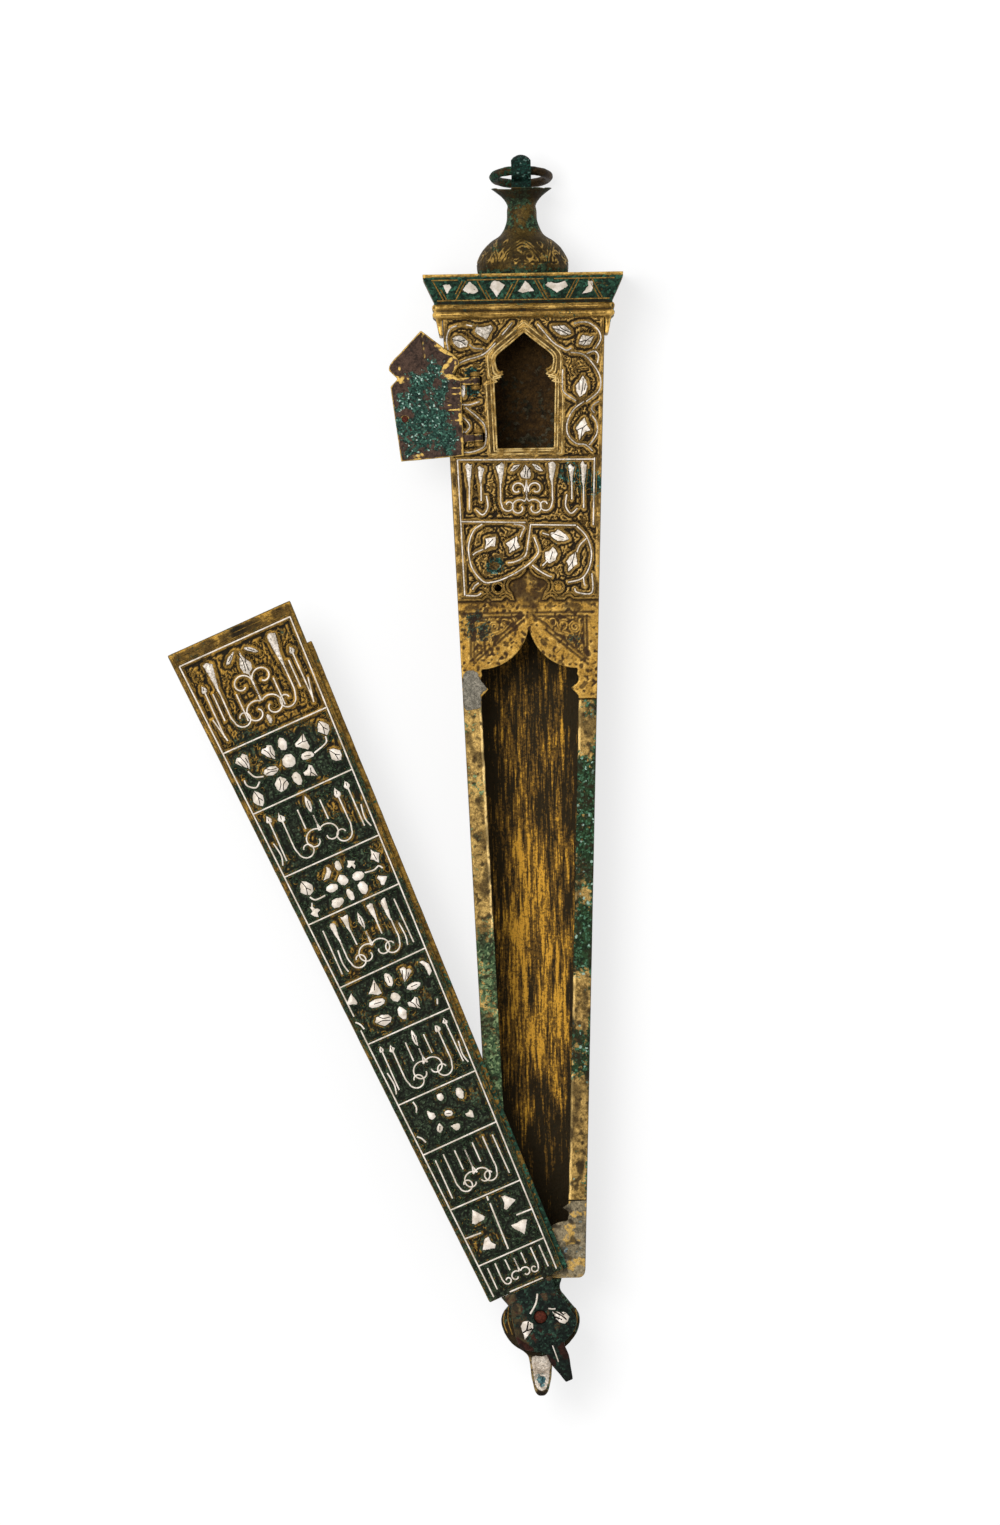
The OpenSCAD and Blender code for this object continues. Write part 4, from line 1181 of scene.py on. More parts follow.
def bulbScrolls(cell):
    # One repeat of the ornament round the bulb: arches over a pair of scrolls
    x, y, size, start, turns = finialLook["scroll"]
    half = [curveThrough(line, 0.2) for line in finialLook["arches"]] + [spiral((x, y), size, start, turns)]
    return half + [mirrored(line) for line in half] + [straight((-cell / 2, 2.0), (cell / 2, 2.0), 0.2)]


def makeFinial():
    look = finialLook
    low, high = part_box("finial")
    axisZ = (low.z + high.z) / 2 / mm
    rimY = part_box("collar")[1].y / mm
    profile = [(r * look["radius"], y * look["length"]) for r, y in look["shape"]]
    wall = curveThrough(profile, 0.24)
    lip = [(0.635 * look["radius"], look["length"] + 0.1), (0.6 * look["radius"], look["length"] + 0.12)]
    dish = curveThrough([(0.56 * look["radius"], look["length"] - 0.2),
                         (look["seatRadius"], look["length"] - look["dish"]),
                         (0.6, look["length"] - look["dish"])], 0.4)
    foot = [(look["tenon"], -2.2), (look["tenon"], 0.0)]
    line = [(0.0, -2.2)] + foot + wall + lip + dish + [(0.0, look["length"] - look["dish"])]
    shell = bmesh.new()
    ridge = shell.verts.layers.float.new("ridge")
    rings = []
    n = look["around"]
    cell = 2 * math.pi * look["radius"] / look["repeats"]
    scrolls = bulbScrolls(cell)
    for r, y in line:
        if r == 0:
            rings.append([shell.verts.new((0, (rimY + y) * mm, axisZ * mm))])
            continue
        spots = np.array([(r * math.sin(2 * math.pi * k / n), y, r * math.cos(2 * math.pi * k / n))
                          for k in range(n)])
        bulb = float(ramp(np.array(y), 1.2, 2.4) * (1 - ramp(np.array(y), 7.2, 9.2)))
        angle = np.array([2 * math.pi * k / n for k in range(n)])
        sheet = np.column_stack([spots[:, 0], spots[:, 1] * 1.1, spots[:, 2]])
        cut = np.zeros(n)
        if bulb > 0:
            spot = (angle * look["radius"] + cell / 2) % cell - cell / 2
            bend = 0.22 * cloud(sheet, 1.6, 20)
            away = (nearPaths(np.column_stack([spot + bend, np.full(n, y)]), scrolls)
                    + 0.12 * cloud(sheet, 0.8, 21))
            cut = (1 - ramp(away, 0.08, 0.4)) * bulb * (0.7 + 0.45 * cloud(sheet, 2.4, 22)).clip(0.2, 1)
        rough = cloud(spots, 2.5, 24)
        around = np.column_stack([7 * np.sin(angle), 7 * np.cos(angle), np.zeros(n)])
        lipped = float(ramp(np.array(y), 17.2, 19.2) * ramp(np.array(r), 4.2, 5.8))
        chip = (lipped
                * (0.6 * ramp(cloud(around, 3.6, 27), 0.0, 0.6)
                   + 0.15 * ramp(cloud(around, 1.6, 29), 0.1, 0.6)))
        ring = []
        for k in range(n):
            s = r - 0.1 * (0.5 + 0.5 * rough[k]) - (0.14 * (1 - cut[k]) * bulb) - 0.9 * chip[k]
            v = shell.verts.new((s * math.sin(angle[k]) * mm, (rimY + y - 0.55 * chip[k]) * mm,
                                 (axisZ + s * math.cos(angle[k])) * mm))
            v[ridge] = cut[k] ** 2
            ring.append(v)
        rings.append(ring)
    for a, b in zip(rings, rings[1:]):
        for k in range(n):
            corners = [a[k % len(a)], a[(k + 1) % len(a)], b[(k + 1) % len(b)], b[k % len(b)]]
            shell.faces.new(list(dict.fromkeys(corners)))
    bmesh.ops.recalc_face_normals(shell, faces=shell.faces)
    mesh = meshFrom(shell, "finialTurned")
    mesh.shade_smooth()
    bulge = bulgeOf(mesh, 3)
    co = pointsOf(mesh)
    high = co[:, 1] - rimY
    onBulb = ramp(high, 1.2, 2.4) * (1 - ramp(high, 7.6, 9.6))
    raised = markOf(mesh, "ridge")
    dirtAndShade = (0.8 * onBulb * (1 - ramp(raised, 0.12, 0.55)) * (0.6 + 0.4 * cloud(co, 3, 26))
            + 0.75 * ramp(high, 15.8, 17.6))
    brand(mesh, "grimeAndShade", np.clip(dirtAndShade - bulge * 5, 0, 0.85))
    brand(mesh, "ridge", np.clip(raised * 1.3, 0, 1))
    green = 0.12 + 0.75 * (1 - ramp(high, 0.2, 1.8)) + 0.35 * ramp(high, 8.5, 11) + 0.3 * cloud(co, 4, 25)
    brand(mesh, "verdigris", np.clip(green, 0, 1))
    seat("finialTurned", mesh, "finialBronze", "box", "bronze", "finial")


def makeLug():
    mesh = castNode("suspension_lug", "lugCasting", 0.14, 4)
    co = pointsOf(mesh)
    top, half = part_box("suspension_lug")[1].y / mm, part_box("suspension_lug")[1].x / mm
    worn = ramp(co[:, 1], top - 1.5, top)
    co[:, 1] -= 0.7 * worn * np.clip(np.abs(co[:, 0]) / half, 0, 1) ** 2
    co[:, 0] *= 1 - 0.16 * worn
    movePoints(mesh, co)
    dent(mesh, 1.6, 0.12, 6)
    showWear(mesh, 3.0, 3)
    co = pointsOf(mesh)
    brand(mesh, "verdigris", np.clip(0.55 + 0.35 * cloud(co, 2.2, 9), 0, 1))
    seat("lugCasting", mesh, "greenBronze", "box", "green_bronze", "suspension_lug")


def makeRing():
    mesh = castWorn("suspension_ring", "ringForged", 0.13, 3, 2.0, 4, (2.4, 0.16, 7), (0.8, 0.04, 8))
    co = pointsOf(mesh)
    brand(mesh, "verdigris", np.clip(0.3 - co[:, 0] * 0.06 + 0.35 * cloud(co, 3, 10), 0, 1))
    seat("ringForged", mesh, "ringBronze", "ring", "dark_bronze", "suspension_ring")


makeCollar()
makeFinial()
makeLug()
makeRing()
print("collar, finial and ring made")


# Rim plates of the pen trough

archLook = {
    "voxel": 0.22,
    "topLine": 36.9,
    "grooveWidth": 0.5,
    "grooveDepth": 0.12,
    "curls": [(7.7, 34.0, 1.25), (10.4, 33.5, 1.15), (9.6, 30.9, 0.95), (5.3, 34.8, 0.7)],
    "stems": [[(11.6, 35.0), (11.9, 33.0), (11.3, 30.9), (10.4, 29.4)],
              [(4.2, 35.0), (6.0, 33.0), (7.6, 32.3), (8.8, 31.9)]],
}


def lobedEdge():
    # Lower edge of the cover with its trefoil and scallops, from the left side to the right
    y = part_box("cover_plate")[0].y / mm
    half = arcLine((3.6, y + 8.2), 3.55, 180, 265) + arcLine((3, y + 3.25), 1.45, 60, -60) + [(3, y)]
    for x in (5, 9.2):
        half += arcLine((x, y - 0.25), 0.9, 164, 16)
    half += straight((10.4, y), (sideOf(y) - 0.3, y))
    return mirrored(half[::-1]) + half


def makeArchPlate():
    look = archLook
    mesh = castNode("arch_plate", "archPlateEngraved", look["voxel"], 2)
    co, out = pointsOf(mesh), normalsOf(mesh)
    flat = co[:, :2]
    dice = random.Random(21)
    lines, curls = [], []
    for side in (-1, 1):
        for drop in (0.0, 1.15):
            lines.append(straight((side * 1.1, look["topLine"] - 0.5 - drop),
                                  (side * 13.2, 26.2 - 0.9 * drop)))
        for y, reach in ((look["topLine"], 14.6), (look["topLine"] - 0.8, 12.6)):
            lines.append(straight((side * 1.5, y), (side * reach, y)))
        for x in (12.3, 13.0):
            lines.append(straight((side * x, look["topLine"] - 1.2), (side * (x + 0.1), 27.0)))
        for x, y, radius in look["curls"]:
            curls.append(spiral((side * x, y), radius, 60 + 40 * x, side * 1.2, 0.35))
        curls += [curveThrough([(side * x, y) for x, y in stem]) for stem in look["stems"]]
    gap = nearPaths(flat, [part for line in lines for part in broken(line, dice, 0.85, 10)])
    curl = nearPaths(flat, curls)
    # Distance to the cover's lobed edge, for the painted shadow that the cover casts on the plate
    coverEdgeShade = nearPaths(flat, [lobedEdge()])
    up = out[:, 2] > 0.7
    groove = np.where(up, 1 - ramp(gap, 0.05, look["grooveWidth"]), 0)
    field = tendrils(flat, 2.0, 2.4, 31)
    above = flat[:, 1] - (look["topLine"] - 0.5 - (np.abs(flat[:, 0]) - 1.1) * 0.843)
    spandrel = up & (flat[:, 1] < look["topLine"] - 0.9) & (above > 0.2) & (np.abs(flat[:, 0]) < 12.2)
    leaf = np.maximum(1 - ramp(curl, 0.3, 0.5), (1 - ramp(field, 0.3, 0.6)) * ramp(curl, 0.75, 1.0))
    cut = np.where(spandrel, (1 - leaf) * (0.7 + 0.3 * cloud(co, 1.5, 32)), 0)
    groove = np.maximum(groove * 0.9, np.where(spandrel, 0.7 * (1 - ramp(curl, 0.04, 0.2)), 0))
    pits = np.where(up, np.maximum(ramp(cloud(co, 0.9, 33), 0.36, 0.7),
                                   0.8 * ramp(cloud(co, 1.25, 38), 0.4, 0.65)), 0)
    # Painted shade under the cover: a noisy dark band towards its edge and a dark patch at its middle lobe
    underCoverShade = ramp(cloud(co, 1.7, 36) + 0.5 * cloud(co, 0.7, 30), 0.2, 0.6) * ramp(flat[:, 1], 36.8, 38.2)
    underCoverShade = np.maximum(underCoverShade,
                       1.2 * (1 - ramp(np.hypot(flat[:, 0] - 0.4, (flat[:, 1] - 39.6) * 0.7)
                                       + cloud(co, 1, 28), 0.6, 2.6)))
    # Painted shade on the plate where it runs under the cover, seen through the notches
    notch = ramp(flat[:, 1], 39.6, 40.8) * (0.85 - 0.75 * ramp(cloud(co, 1.7, 35), 0.0, 0.5))
    coverEdgeShade = np.maximum(0.95 * (1 - ramp(coverEdgeShade, 0.15, 1.0)), np.maximum(0.7 * underCoverShade, notch))
    sink = look["grooveDepth"] * groove + 0.13 * cut + 0.1 * pits
    sinkPoints(mesh, co, sink)
    dent(mesh, 2.0, 0.05, 12)
    showWear(mesh, 5.0, 2, 4.0)
    old = markOf(mesh, "grimeAndShade")
    # Dirt in the cuts and pits, and the painted shade along the cover's edge, go into one darkening mark
    dirtAndShade = np.maximum(old + 0.75 * groove + 0.85 * cut + 0.8 * pits, np.where(up, coverEdgeShade, 0))
    brand(mesh, "grimeAndShade", np.clip(dirtAndShade, 0, 0.92))
    brand(mesh, "ridge", np.where(up, 0.3 + 0.3 * cloud(co, 1.6, 37), 0))
    shade = 0.62 * blot((flat[:, 0] + 11.5) * 0.8, flat[:, 1] - 34.0, 1.0, 5.0)
    shade += (0.4 * blot(flat[:, 0] - 10.4, flat[:, 1] - 30.8, 0.6, 3.2)
              + 0.3 * cloud(co, 1.6, 39) * (shade > 0.05))
    brand(mesh, "verdigris", np.clip(shade * 1.1 + 0.16 * cloud(co, 2.2, 34), 0, 1))
    seat("archPlateEngraved", mesh, "archBrass", "box", "brass", "arch_plate")


solderLook = {"left": [(-14.9, 23.2), (-12.2, 23.9), (-11.0, 21.8), (-9.7, 19.9), (-11.0, 18.6),
                       (-11.1, 15.9), (-13.2, 15.3), (-14.75, 15.8)], "thick": 0.1}


def makeSolderPatch():
    # Grey soft-solder repair spread over the seam at the left nib
    dice = random.Random(5)
    line = curveThrough(solderLook["left"], 0.25, closed=True)
    outline = [(x + dice.gauss(0, 0.06), y + dice.gauss(0, 0.06)) for x, y in line]
    mesh = sheetPieces("solderPatch", [outline], onBox, level(rimTop), solderLook["thick"], 0.12)
    seat("solderPatch", mesh, "solderGrey", "box", "tinned_repair")


railLook = {"slope": 0.0372, "tailY": -113, "width": 3.9}


def makeRails():
    for side, node in ((-1, "left_rail"), (1, "right_rail")):
        mesh = castWorn(node, node + "Plate", 0.26, 2, 4.0, 3, (2.6, 0.1, 14 + side), (0.9, 0.04, 16 + side))
        co = pointsOf(mesh)
        y = co[:, 1]
        rough = cloud(co, 7, 40 + side)
        half = troughLook["tailHalf"] + railLook["slope"] * (y - railLook["tailY"])
        if side < 0:
            green = 0.06 + 0.76 * (1 - ramp(y, -40, -28)) + 0.4 * rough
        else:
            green = (0.08 + 0.78 * (1 - ramp(y, 2, 12)) * ramp(y, -50, -38)
                     + 0.4 * (1 - ramp(np.abs(y + 61), 4, 9)) + 0.35 * rough)
            green += 0.3 * ramp(np.abs(co[:, 0]) - half, -0.9, -0.3)
        brand(mesh, "verdigris", np.clip(green, 0, 1))
        inner = 1 - ramp(np.abs(np.abs(co[:, 0]) - (half - railLook["width"])), 0.1, 0.7)
        brand(mesh, "ridge", np.clip(inner * 0.8, 0, 1))
        pits = np.maximum(ramp(cloud(co, 1.3, 44 + side), 0.4, 0.75),
                          0.7 * ramp(cloud(co * (1.6, 0.7, 1), 3.4, 47), 0.2, 0.6))
        old = markOf(mesh, "grimeAndShade")
        shaded = (0.65 * (side > 0) * (1 - ramp(y, -62, -48))
                  * ramp(cloud(co * (1.5, 0.6, 1), 2.2, 48), -0.15, 0.35))
        brand(mesh, "grimeAndShade", np.clip(old + 0.8 * pits + shaded, 0, 0.9))
        seat(node + "Plate", mesh, "railBronze" if side > 0 else "leftRail", "box", "bronze", node)


def makeTailPlate():
    mesh = castNode("tail_plate", "tailPlateTinned", 0.2, 2)
    roundTail(mesh, troughLook["tailRound"])
    dent(mesh, 2.2, 0.1, 18)
    showWear(mesh, 4.0, 3)
    co = pointsOf(mesh)
    brand(mesh, "verdigris", np.clip(0.25 + 0.4 * cloud(co, 3.2, 19) - 0.02 * (co[:, 1] + 113), 0, 1))
    spots = ramp(cloud(co, 1.8, 22), 0.25, 0.6) + blot(co[:, 0] - 4.2, co[:, 1] + 97.5, 0.8, 2.6)
    brand(mesh, "grimeAndShade", np.clip(0.75 * spots, 0, 0.85))
    gold = (0.5 * (1 - ramp(co[:, 1], -112.6, -110.5))
            + 0.7 * ramp(cloud(co, 3, 20) + 0.4 * cloud(co, 0.9, 23), 0.15, 0.6))
    brand(mesh, "ridge", np.clip(gold, 0, 1))
    seat("tailPlateTinned", mesh, "tinnedPlate", "box", "tinned_repair", "tail_plate")


makeArchPlate()
makeSolderPatch()
makeRails()
makeTailPlate()
print("rim plates made")


# Cover over the ink compartment

windowLook = {"top": 99.95, "bottom": 73.95, "half": 6.6, "shoulder": 17.1}


def windowEdge(lap):
    # Outline of the ogee window, made larger all round, from its point round to its point
    j = windowLook["half"] + lap
    s = windowLook["bottom"] + windowLook["shoulder"]
    side = curveThrough([(0, windowLook["top"] + 1.3 * lap), (2.4 + 0.65 * lap, s + 6.85 + 0.75 * lap),
                         (j - 1.5 - 0.25 * lap, s + 4.7 + 0.65 * lap), (j - 0.35, s + 3.5 + 0.3 * lap),
                         (j - 0.2, s + 2.2)], 0.3)
    side += arcLine((j - 1.9, s + 1.6 - lap), 1.5, 0, -80)
    corners = [(j - 1.9 - 0.2 * lap, s - 0.2 - lap), (j + 0.2, s - 0.8 - lap),
               (j - 0.35, windowLook["bottom"] - 0.7 * lap)]
    for a, b in zip([side[-1]] + corners, corners):
        side += straight(a, b, 0.3)[1:]
    foot = straight(side[-1], (-side[-1][0], side[-1][1]), 0.3)[1:-1]
    return side + foot + mirrored(side[::-1])


coverLook = {
    "voxel": 0.25,
    "panel": (57.4, 71.55),
    "sideLine": 1.7,
    "vines": [
        [(-11.6, 101.6), (-13.6, 101.9), (-16.4, 101.2), (-17.4, 98.9), (-17.1, 96.4)],
        [(-12.3, 97.5), (-11.4, 96.7), (-9.3, 96.4)],
        [(-16.4, 91.4), (-15.2, 92.9), (-12.9, 94.0), (-9.6, 95.0), (-7.4, 96.7), (-4.2, 100.3),
         (-2.6, 102.2)],
        [(3.1, 101.8), (4.7, 99.8), (6.6, 97.6), (8.4, 96.4), (9.6, 95.8), (10.6, 96.3)],
        [(11.3, 101.7), (12.8, 102.1), (14.7, 101.9), (16.7, 100.3), (17.3, 98.3), (16.1, 96.1)],
        [(14.1, 95.0), (15.9, 95.5), (16.7, 94.4), (16.4, 92.8)],
        [(10.5, 95.3), (13.1, 94.9), (15.0, 93.2), (16.8, 90.3), (17.1, 87.9), (16.3, 86.1), (13.8, 84.2)],
        [(8.6, 91.5), (8.5, 88.5), (8.8, 86.4), (11.5, 84.4)],
        [(13.2, 84.2), (10.8, 82.3), (9.4, 79.4), (9.6, 76.7), (11.4, 74.8), (13.4, 74.5), (15.0, 73.1)],
        [(15.0, 81.1), (16.1, 79.2), (16.0, 76.8), (14.3, 74.4)],
        [(16.6, 84.2), (15.4, 83.4), (15.0, 82.4), (15.6, 81.6)],
        [(-16.8, 86.6), (-15.2, 84.4), (-12.7, 83.9), (-10.2, 84.6)],
        [(-13.4, 83.3), (-11.0, 81.3), (-9.2, 79.2), (-8.9, 76.4), (-9.6, 74.3), (-12.6, 73.2),
         (-16.2, 73.6)],
        [(-15.9, 81.8), (-13.6, 80.7), (-12.5, 79.0), (-13.6, 77.6)],
    ],
    "vineLeaves": [("oval", -14.3, 98.1, 70, 4.0, 2.6, "split"), ("kite", -8.9, 100.1, 8, 3.0, 4.6, "none"),
                   ("leaf", 8.6, 100.3, 68, 5.2, 2.5, "arcs"), ("leaf", 13.9, 98.0, -62, 4.2, 2.7, "split"),
                   ("leaf", 12.8, 87.6, -8, 4.6, 2.7, "bars"), ("rhomb", 12.8, 78.1, -12, 4.7, 3.1, "fork"),
                   ("leaf", -14.6, 87.9, 15, 4.2, 2.6, "split"),
                   ("rhomb", -14.9, 77.6, 10, 4.2, 2.6, "fork")],
    "loops": [
        [(-10.1, 57.0), (-12.0, 55.6), (-13.1, 52.9), (-13.2, 50.2), (-12.4, 46.9), (-10.1, 44.1),
         (-8.1, 43.9), (-5.5, 44.6), (-2.6, 46.0), (0.3, 47.9), (2.2, 49.9), (2.4, 51.3), (1.5, 53.9)],
        [(-13.0, 49.2), (-11.8, 50.5), (-10.0, 51.3)],
        [(-1.6, 53.9), (-1.0, 55.3), (-0.6, 56.1), (-1.4, 56.6), (-3.0, 56.9)],
        [(0.8, 56.7), (0.2, 52.9), (-0.5, 49.8), (-2.6, 48.5), (-4.5, 48.2)],
        [(1.0, 47.6), (2.6, 46.3), (4.4, 45.2), (5.4, 44.9)],
        [(9.0, 43.6), (11.7, 44.2), (13.2, 45.6), (14.2, 48.2), (14.3, 51.0), (13.2, 54.0), (11.2, 56.2)],
        [(13.3, 53.4), (11.8, 51.9), (11.1, 50.3)],
        [(4.9, 54.3), (3.4, 54.8)],
        [(4.5, 48.6), (3.3, 47.4)],
        [(12.5, 44.7), (12.6, 43.4), (12.9, 42.7)],
        [(14.4, 45.5), (14.3, 41.2), (11.0, 41.3), (10.5, 42.2)],
        [(-11.1, 43.8), (-12.0, 43.1), (-12.5, 42.3)],
        [(-14.0, 41.0), (-11.6, 40.9), (-10.6, 41.5)],
    ],
    "loopLeaves": [("rhomb", -8.4, 52.9, -40, 4.0, 3.0, "one"), ("rhomb", -3.2, 52.2, -18, 4.2, 3.4, "split"),
                   ("rhomb", 9.9, 48.1, -22, 4.8, 2.9, "split"), ("leaf", 7.1, 54.1, 72, 4.8, 2.5, "one"),
                   ("leaf", 5.4, 49.8, -12, 3.6, 3.0, "one")],
    "lostLeaf": (-7.4, 47.6),
    "rivet": (6.8, 42.55),  # rivet and bare hole, the same on both sides
    "greenSpots": [(-11.9, 91.0, 2.2, 1.0), (-11.7, 87.2, 2.4, 1.1), (9.8, 68.5, 4.0, 0.8),
                   (14.2, 66.0, 4.5, 0.75), (-10.5, 101.5, 2.5, 0.3)],
}


def hook(foot, size, side):
    # End of a stem that rolls up towards the middle
    x, y = foot
    first = curveThrough([(x, y + 0.5 * size), (x, y), (x - side * 0.12 * size, y - 0.45 * size)], 0.2)
    turn = spiral((x - side * 0.78 * size, y - 0.4 * size), 0.68 * size, 180 if side < 0 else 0, 0.95 * -side,
                  0.35)
    return first + turn[1:]


def ornamentPanel(width, bottom, height, plan, dice):
    # Mirror-image rows of silver spears, buds and volutes for one panel
    outlines, wires, veins = [], [], []
    for side in (-1, 1):
        for x, top, foot, head, size, curl in plan["spears"]:
            px, low, high = side * x * width, bottom + foot * height, bottom + top * height
            reach = high
            if head == "wedge":
                tall = (high - low) * 0.64
                outlines.append(cutOutline("wedge", px, high - tall / 2, dice.gauss(0, 1.5), tall,
                                           size * width, dice))
                reach = high - tall * 0.8
            elif head == "bud":
                across = size * width
                outlines.append(cutOutline("drop", px, high - across * 0.6, 0, across * 1.3, across, dice))
                veins += cutVeins("one", px, high - across * 0.6, 0, across, across)
                reach = high - across * 1.15
            stem = straight((px, reach), (px + side * dice.gauss(0, 0.05), low), 0.3)
            if curl:
                stem = stem[:-2] + hook((px, low + 0.1), curl * height, side)
            wires.append(stem)
    for kind, x, y, turn, length, across, vein in plan["middle"]:
        for side in ((1,) if x == 0 else (-1, 1)):
            place = (side * x * width, bottom + y * height, side * turn)
            outlines.append(cutOutline(kind, *place, length * height, across * width, dice))
            veins += cutVeins(vein, *place, length * height, across * width)
    for stemX, stemY, centreX, centreY, radius, start, turns in plan["volutes"]:
        for side in (-1, 1):
            roll = spiral((centreX * width, bottom + centreY * height), radius * height, start, turns)
            line = curveThrough([(stemX * width, bottom + stemY * height), roll[0]] + roll[2::3], 0.2)
            wires.append(line if side > 0 else mirrored(line))
    for line in plan["strokes"]:
        for side in (-1, 1):
            wires.append(curveThrough([(side * u * width, bottom + v * height) for u, v in line], 0.25))
    return outlines, wires, veins


# Spears: place, top, foot, head, its width, hook; volutes: stem, centre, radius, start angle, turns
tallPanel = {
    "spears": [(0.86, 0.72, 0.14, "bud", 0.11, 0), (0.62, 0.93, 0.3, "wedge", 0.17, 0.15),
               (0.36, 0.5, 0.2, None, 0, 0)],
    "middle": [("drop", 0, 0.77, 0, 0.26, 0.22, "arcs"), ("leaf", 0.2, 0.86, 50, 0.17, 0.08, "one"),
               ("blob", 0, 0.13, 0, 0.09, 0.08, "none")],
    "volutes": [(0, 0.62, 0.2, 0.56, 0.12, 200, -0.95), (0, 0.4, 0.16, 0.24, 0.13, 130, -1.0)],
    "strokes": [[(0.0, 0.64), (0.0, 0.38)], [(0.74, 0.6), (0.74, 0.3)], [(0.93, 0.36), (0.84, 0.1)]],
}
budPanel = {
    "spears": [(0.84, 0.9, 0.2, "bud", 0.13, 0), (0.6, 0.86, 0.3, "bud", 0.15, 0.2),
               (0.24, 0.8, 0.5, None, 0, 0)],
    "middle": [("leaf", 0, 0.8, 0, 0.26, 0.12, "one")],
    "volutes": [(0, 0.5, 0.16, 0.3, 0.17, 140, -0.9)],
    "strokes": [[(0.0, 0.64), (0.0, 0.42)], [(0.94, 0.5), (0.9, 0.3), (0.95, 0.16)]],
}
spearPanel = {
    "spears": [(0.84, 0.84, 0.16, None, 0, 0), (0.6, 0.9, 0.32, "wedge", 0.14, 0.19),
               (0.3, 0.92, 0.46, "wedge", 0.15, 0)],
    "middle": [("leaf", 0, 0.74, 0, 0.28, 0.12, "one")],
    "volutes": [(0, 0.5, 0.17, 0.27, 0.16, 140, -0.95)],
    "strokes": [[(0.0, 0.58), (0.0, 0.42)], [(0.72, 0.5), (0.74, 0.3), (0.7, 0.16)]],
}
linePanel = {
    "spears": [(0.84, 0.84, 0.16, None, 0, 0), (0.58, 0.88, 0.34, None, 0, 0.19),
               (0.26, 0.86, 0.52, None, 0, 0)],
    "middle": [],
    "volutes": [(0, 0.5, 0.16, 0.28, 0.17, 140, -0.85)],
    "strokes": [[(0.0, 0.8), (0.0, 0.42)]],
}
coverPanel = {
    "spears": [(0.88, 0.92, 0.2, "wedge", 0.1, 0), (0.7, 0.9, 0.34, "wedge", 0.1, 0),
               (0.4, 0.93, 0.32, "wedge", 0.13, 0.16)],
    "middle": [("drop", 0, 0.8, 0, 0.25, 0.17, "arcs"), ("leaf", 0.17, 0.86, 55, 0.2, 0.07, "one")],
    "volutes": [(0, 0.62, 0.14, 0.52, 0.12, 200, -0.95), (0, 0.38, 0.12, 0.22, 0.14, 130, -1.0)],
    "strokes": [[(0.0, 0.66), (0.0, 0.36)], [(0.62, 0.42), (0.6, 0.24), (0.68, 0.12), (0.78, 0.2)]],
}


def scrollGround(spots, inside, drawn, dice, low=0.75, high=1.35):
    # Small engraved spirals between the drawn things, cut off where they would meet one
    tree = plantLines(drawn)
    lines = []
    for spot in spots:
        x, y = spot[0] + dice.uniform(-0.5, 0.5), spot[1] + dice.uniform(-0.5, 0.5)
        roll = spiral((x, y), dice.uniform(low, high), dice.uniform(0, 360),
                      dice.choice((-1, 1)) * dice.uniform(0.9, 1.5), 0.2, 0.3)
        run = []
        for q in roll:
            if inside(*q) and tree.find((q[0], q[1], 0))[2] > 0.5:
                run.append(q)
                continue
            if len(run) > 3:
                lines.append(run)
            run = []
        if len(run) > 3:
            lines.append(run)
    return lines


def outlineRidges(outlines, dice, gap=0.3, keep=0.72):
    lines = []
    for outline in outlines:
        if area(outline) < 0:
            outline = outline[::-1]
        ring = curveThrough(outline[::3], 0.3, closed=True)
        lines += broken(beside(ring + ring[:1], -gap), dice, keep, 12)
    return lines


def strokeRidges(wires, dice, gap=0.52, keep=0.8):
    lines = []
    for wire in wires:
        for side in (-gap, gap):
            lines += broken(beside(wire, side), dice, keep, 14)
    return lines


def reachOf(flat, up, drawn):
    # How far each point of a plate's top lies from the drawn lines
    reach = np.full(len(flat), 9.0)
    reach[up] = nearPaths(flat[up], drawn)
    return reach


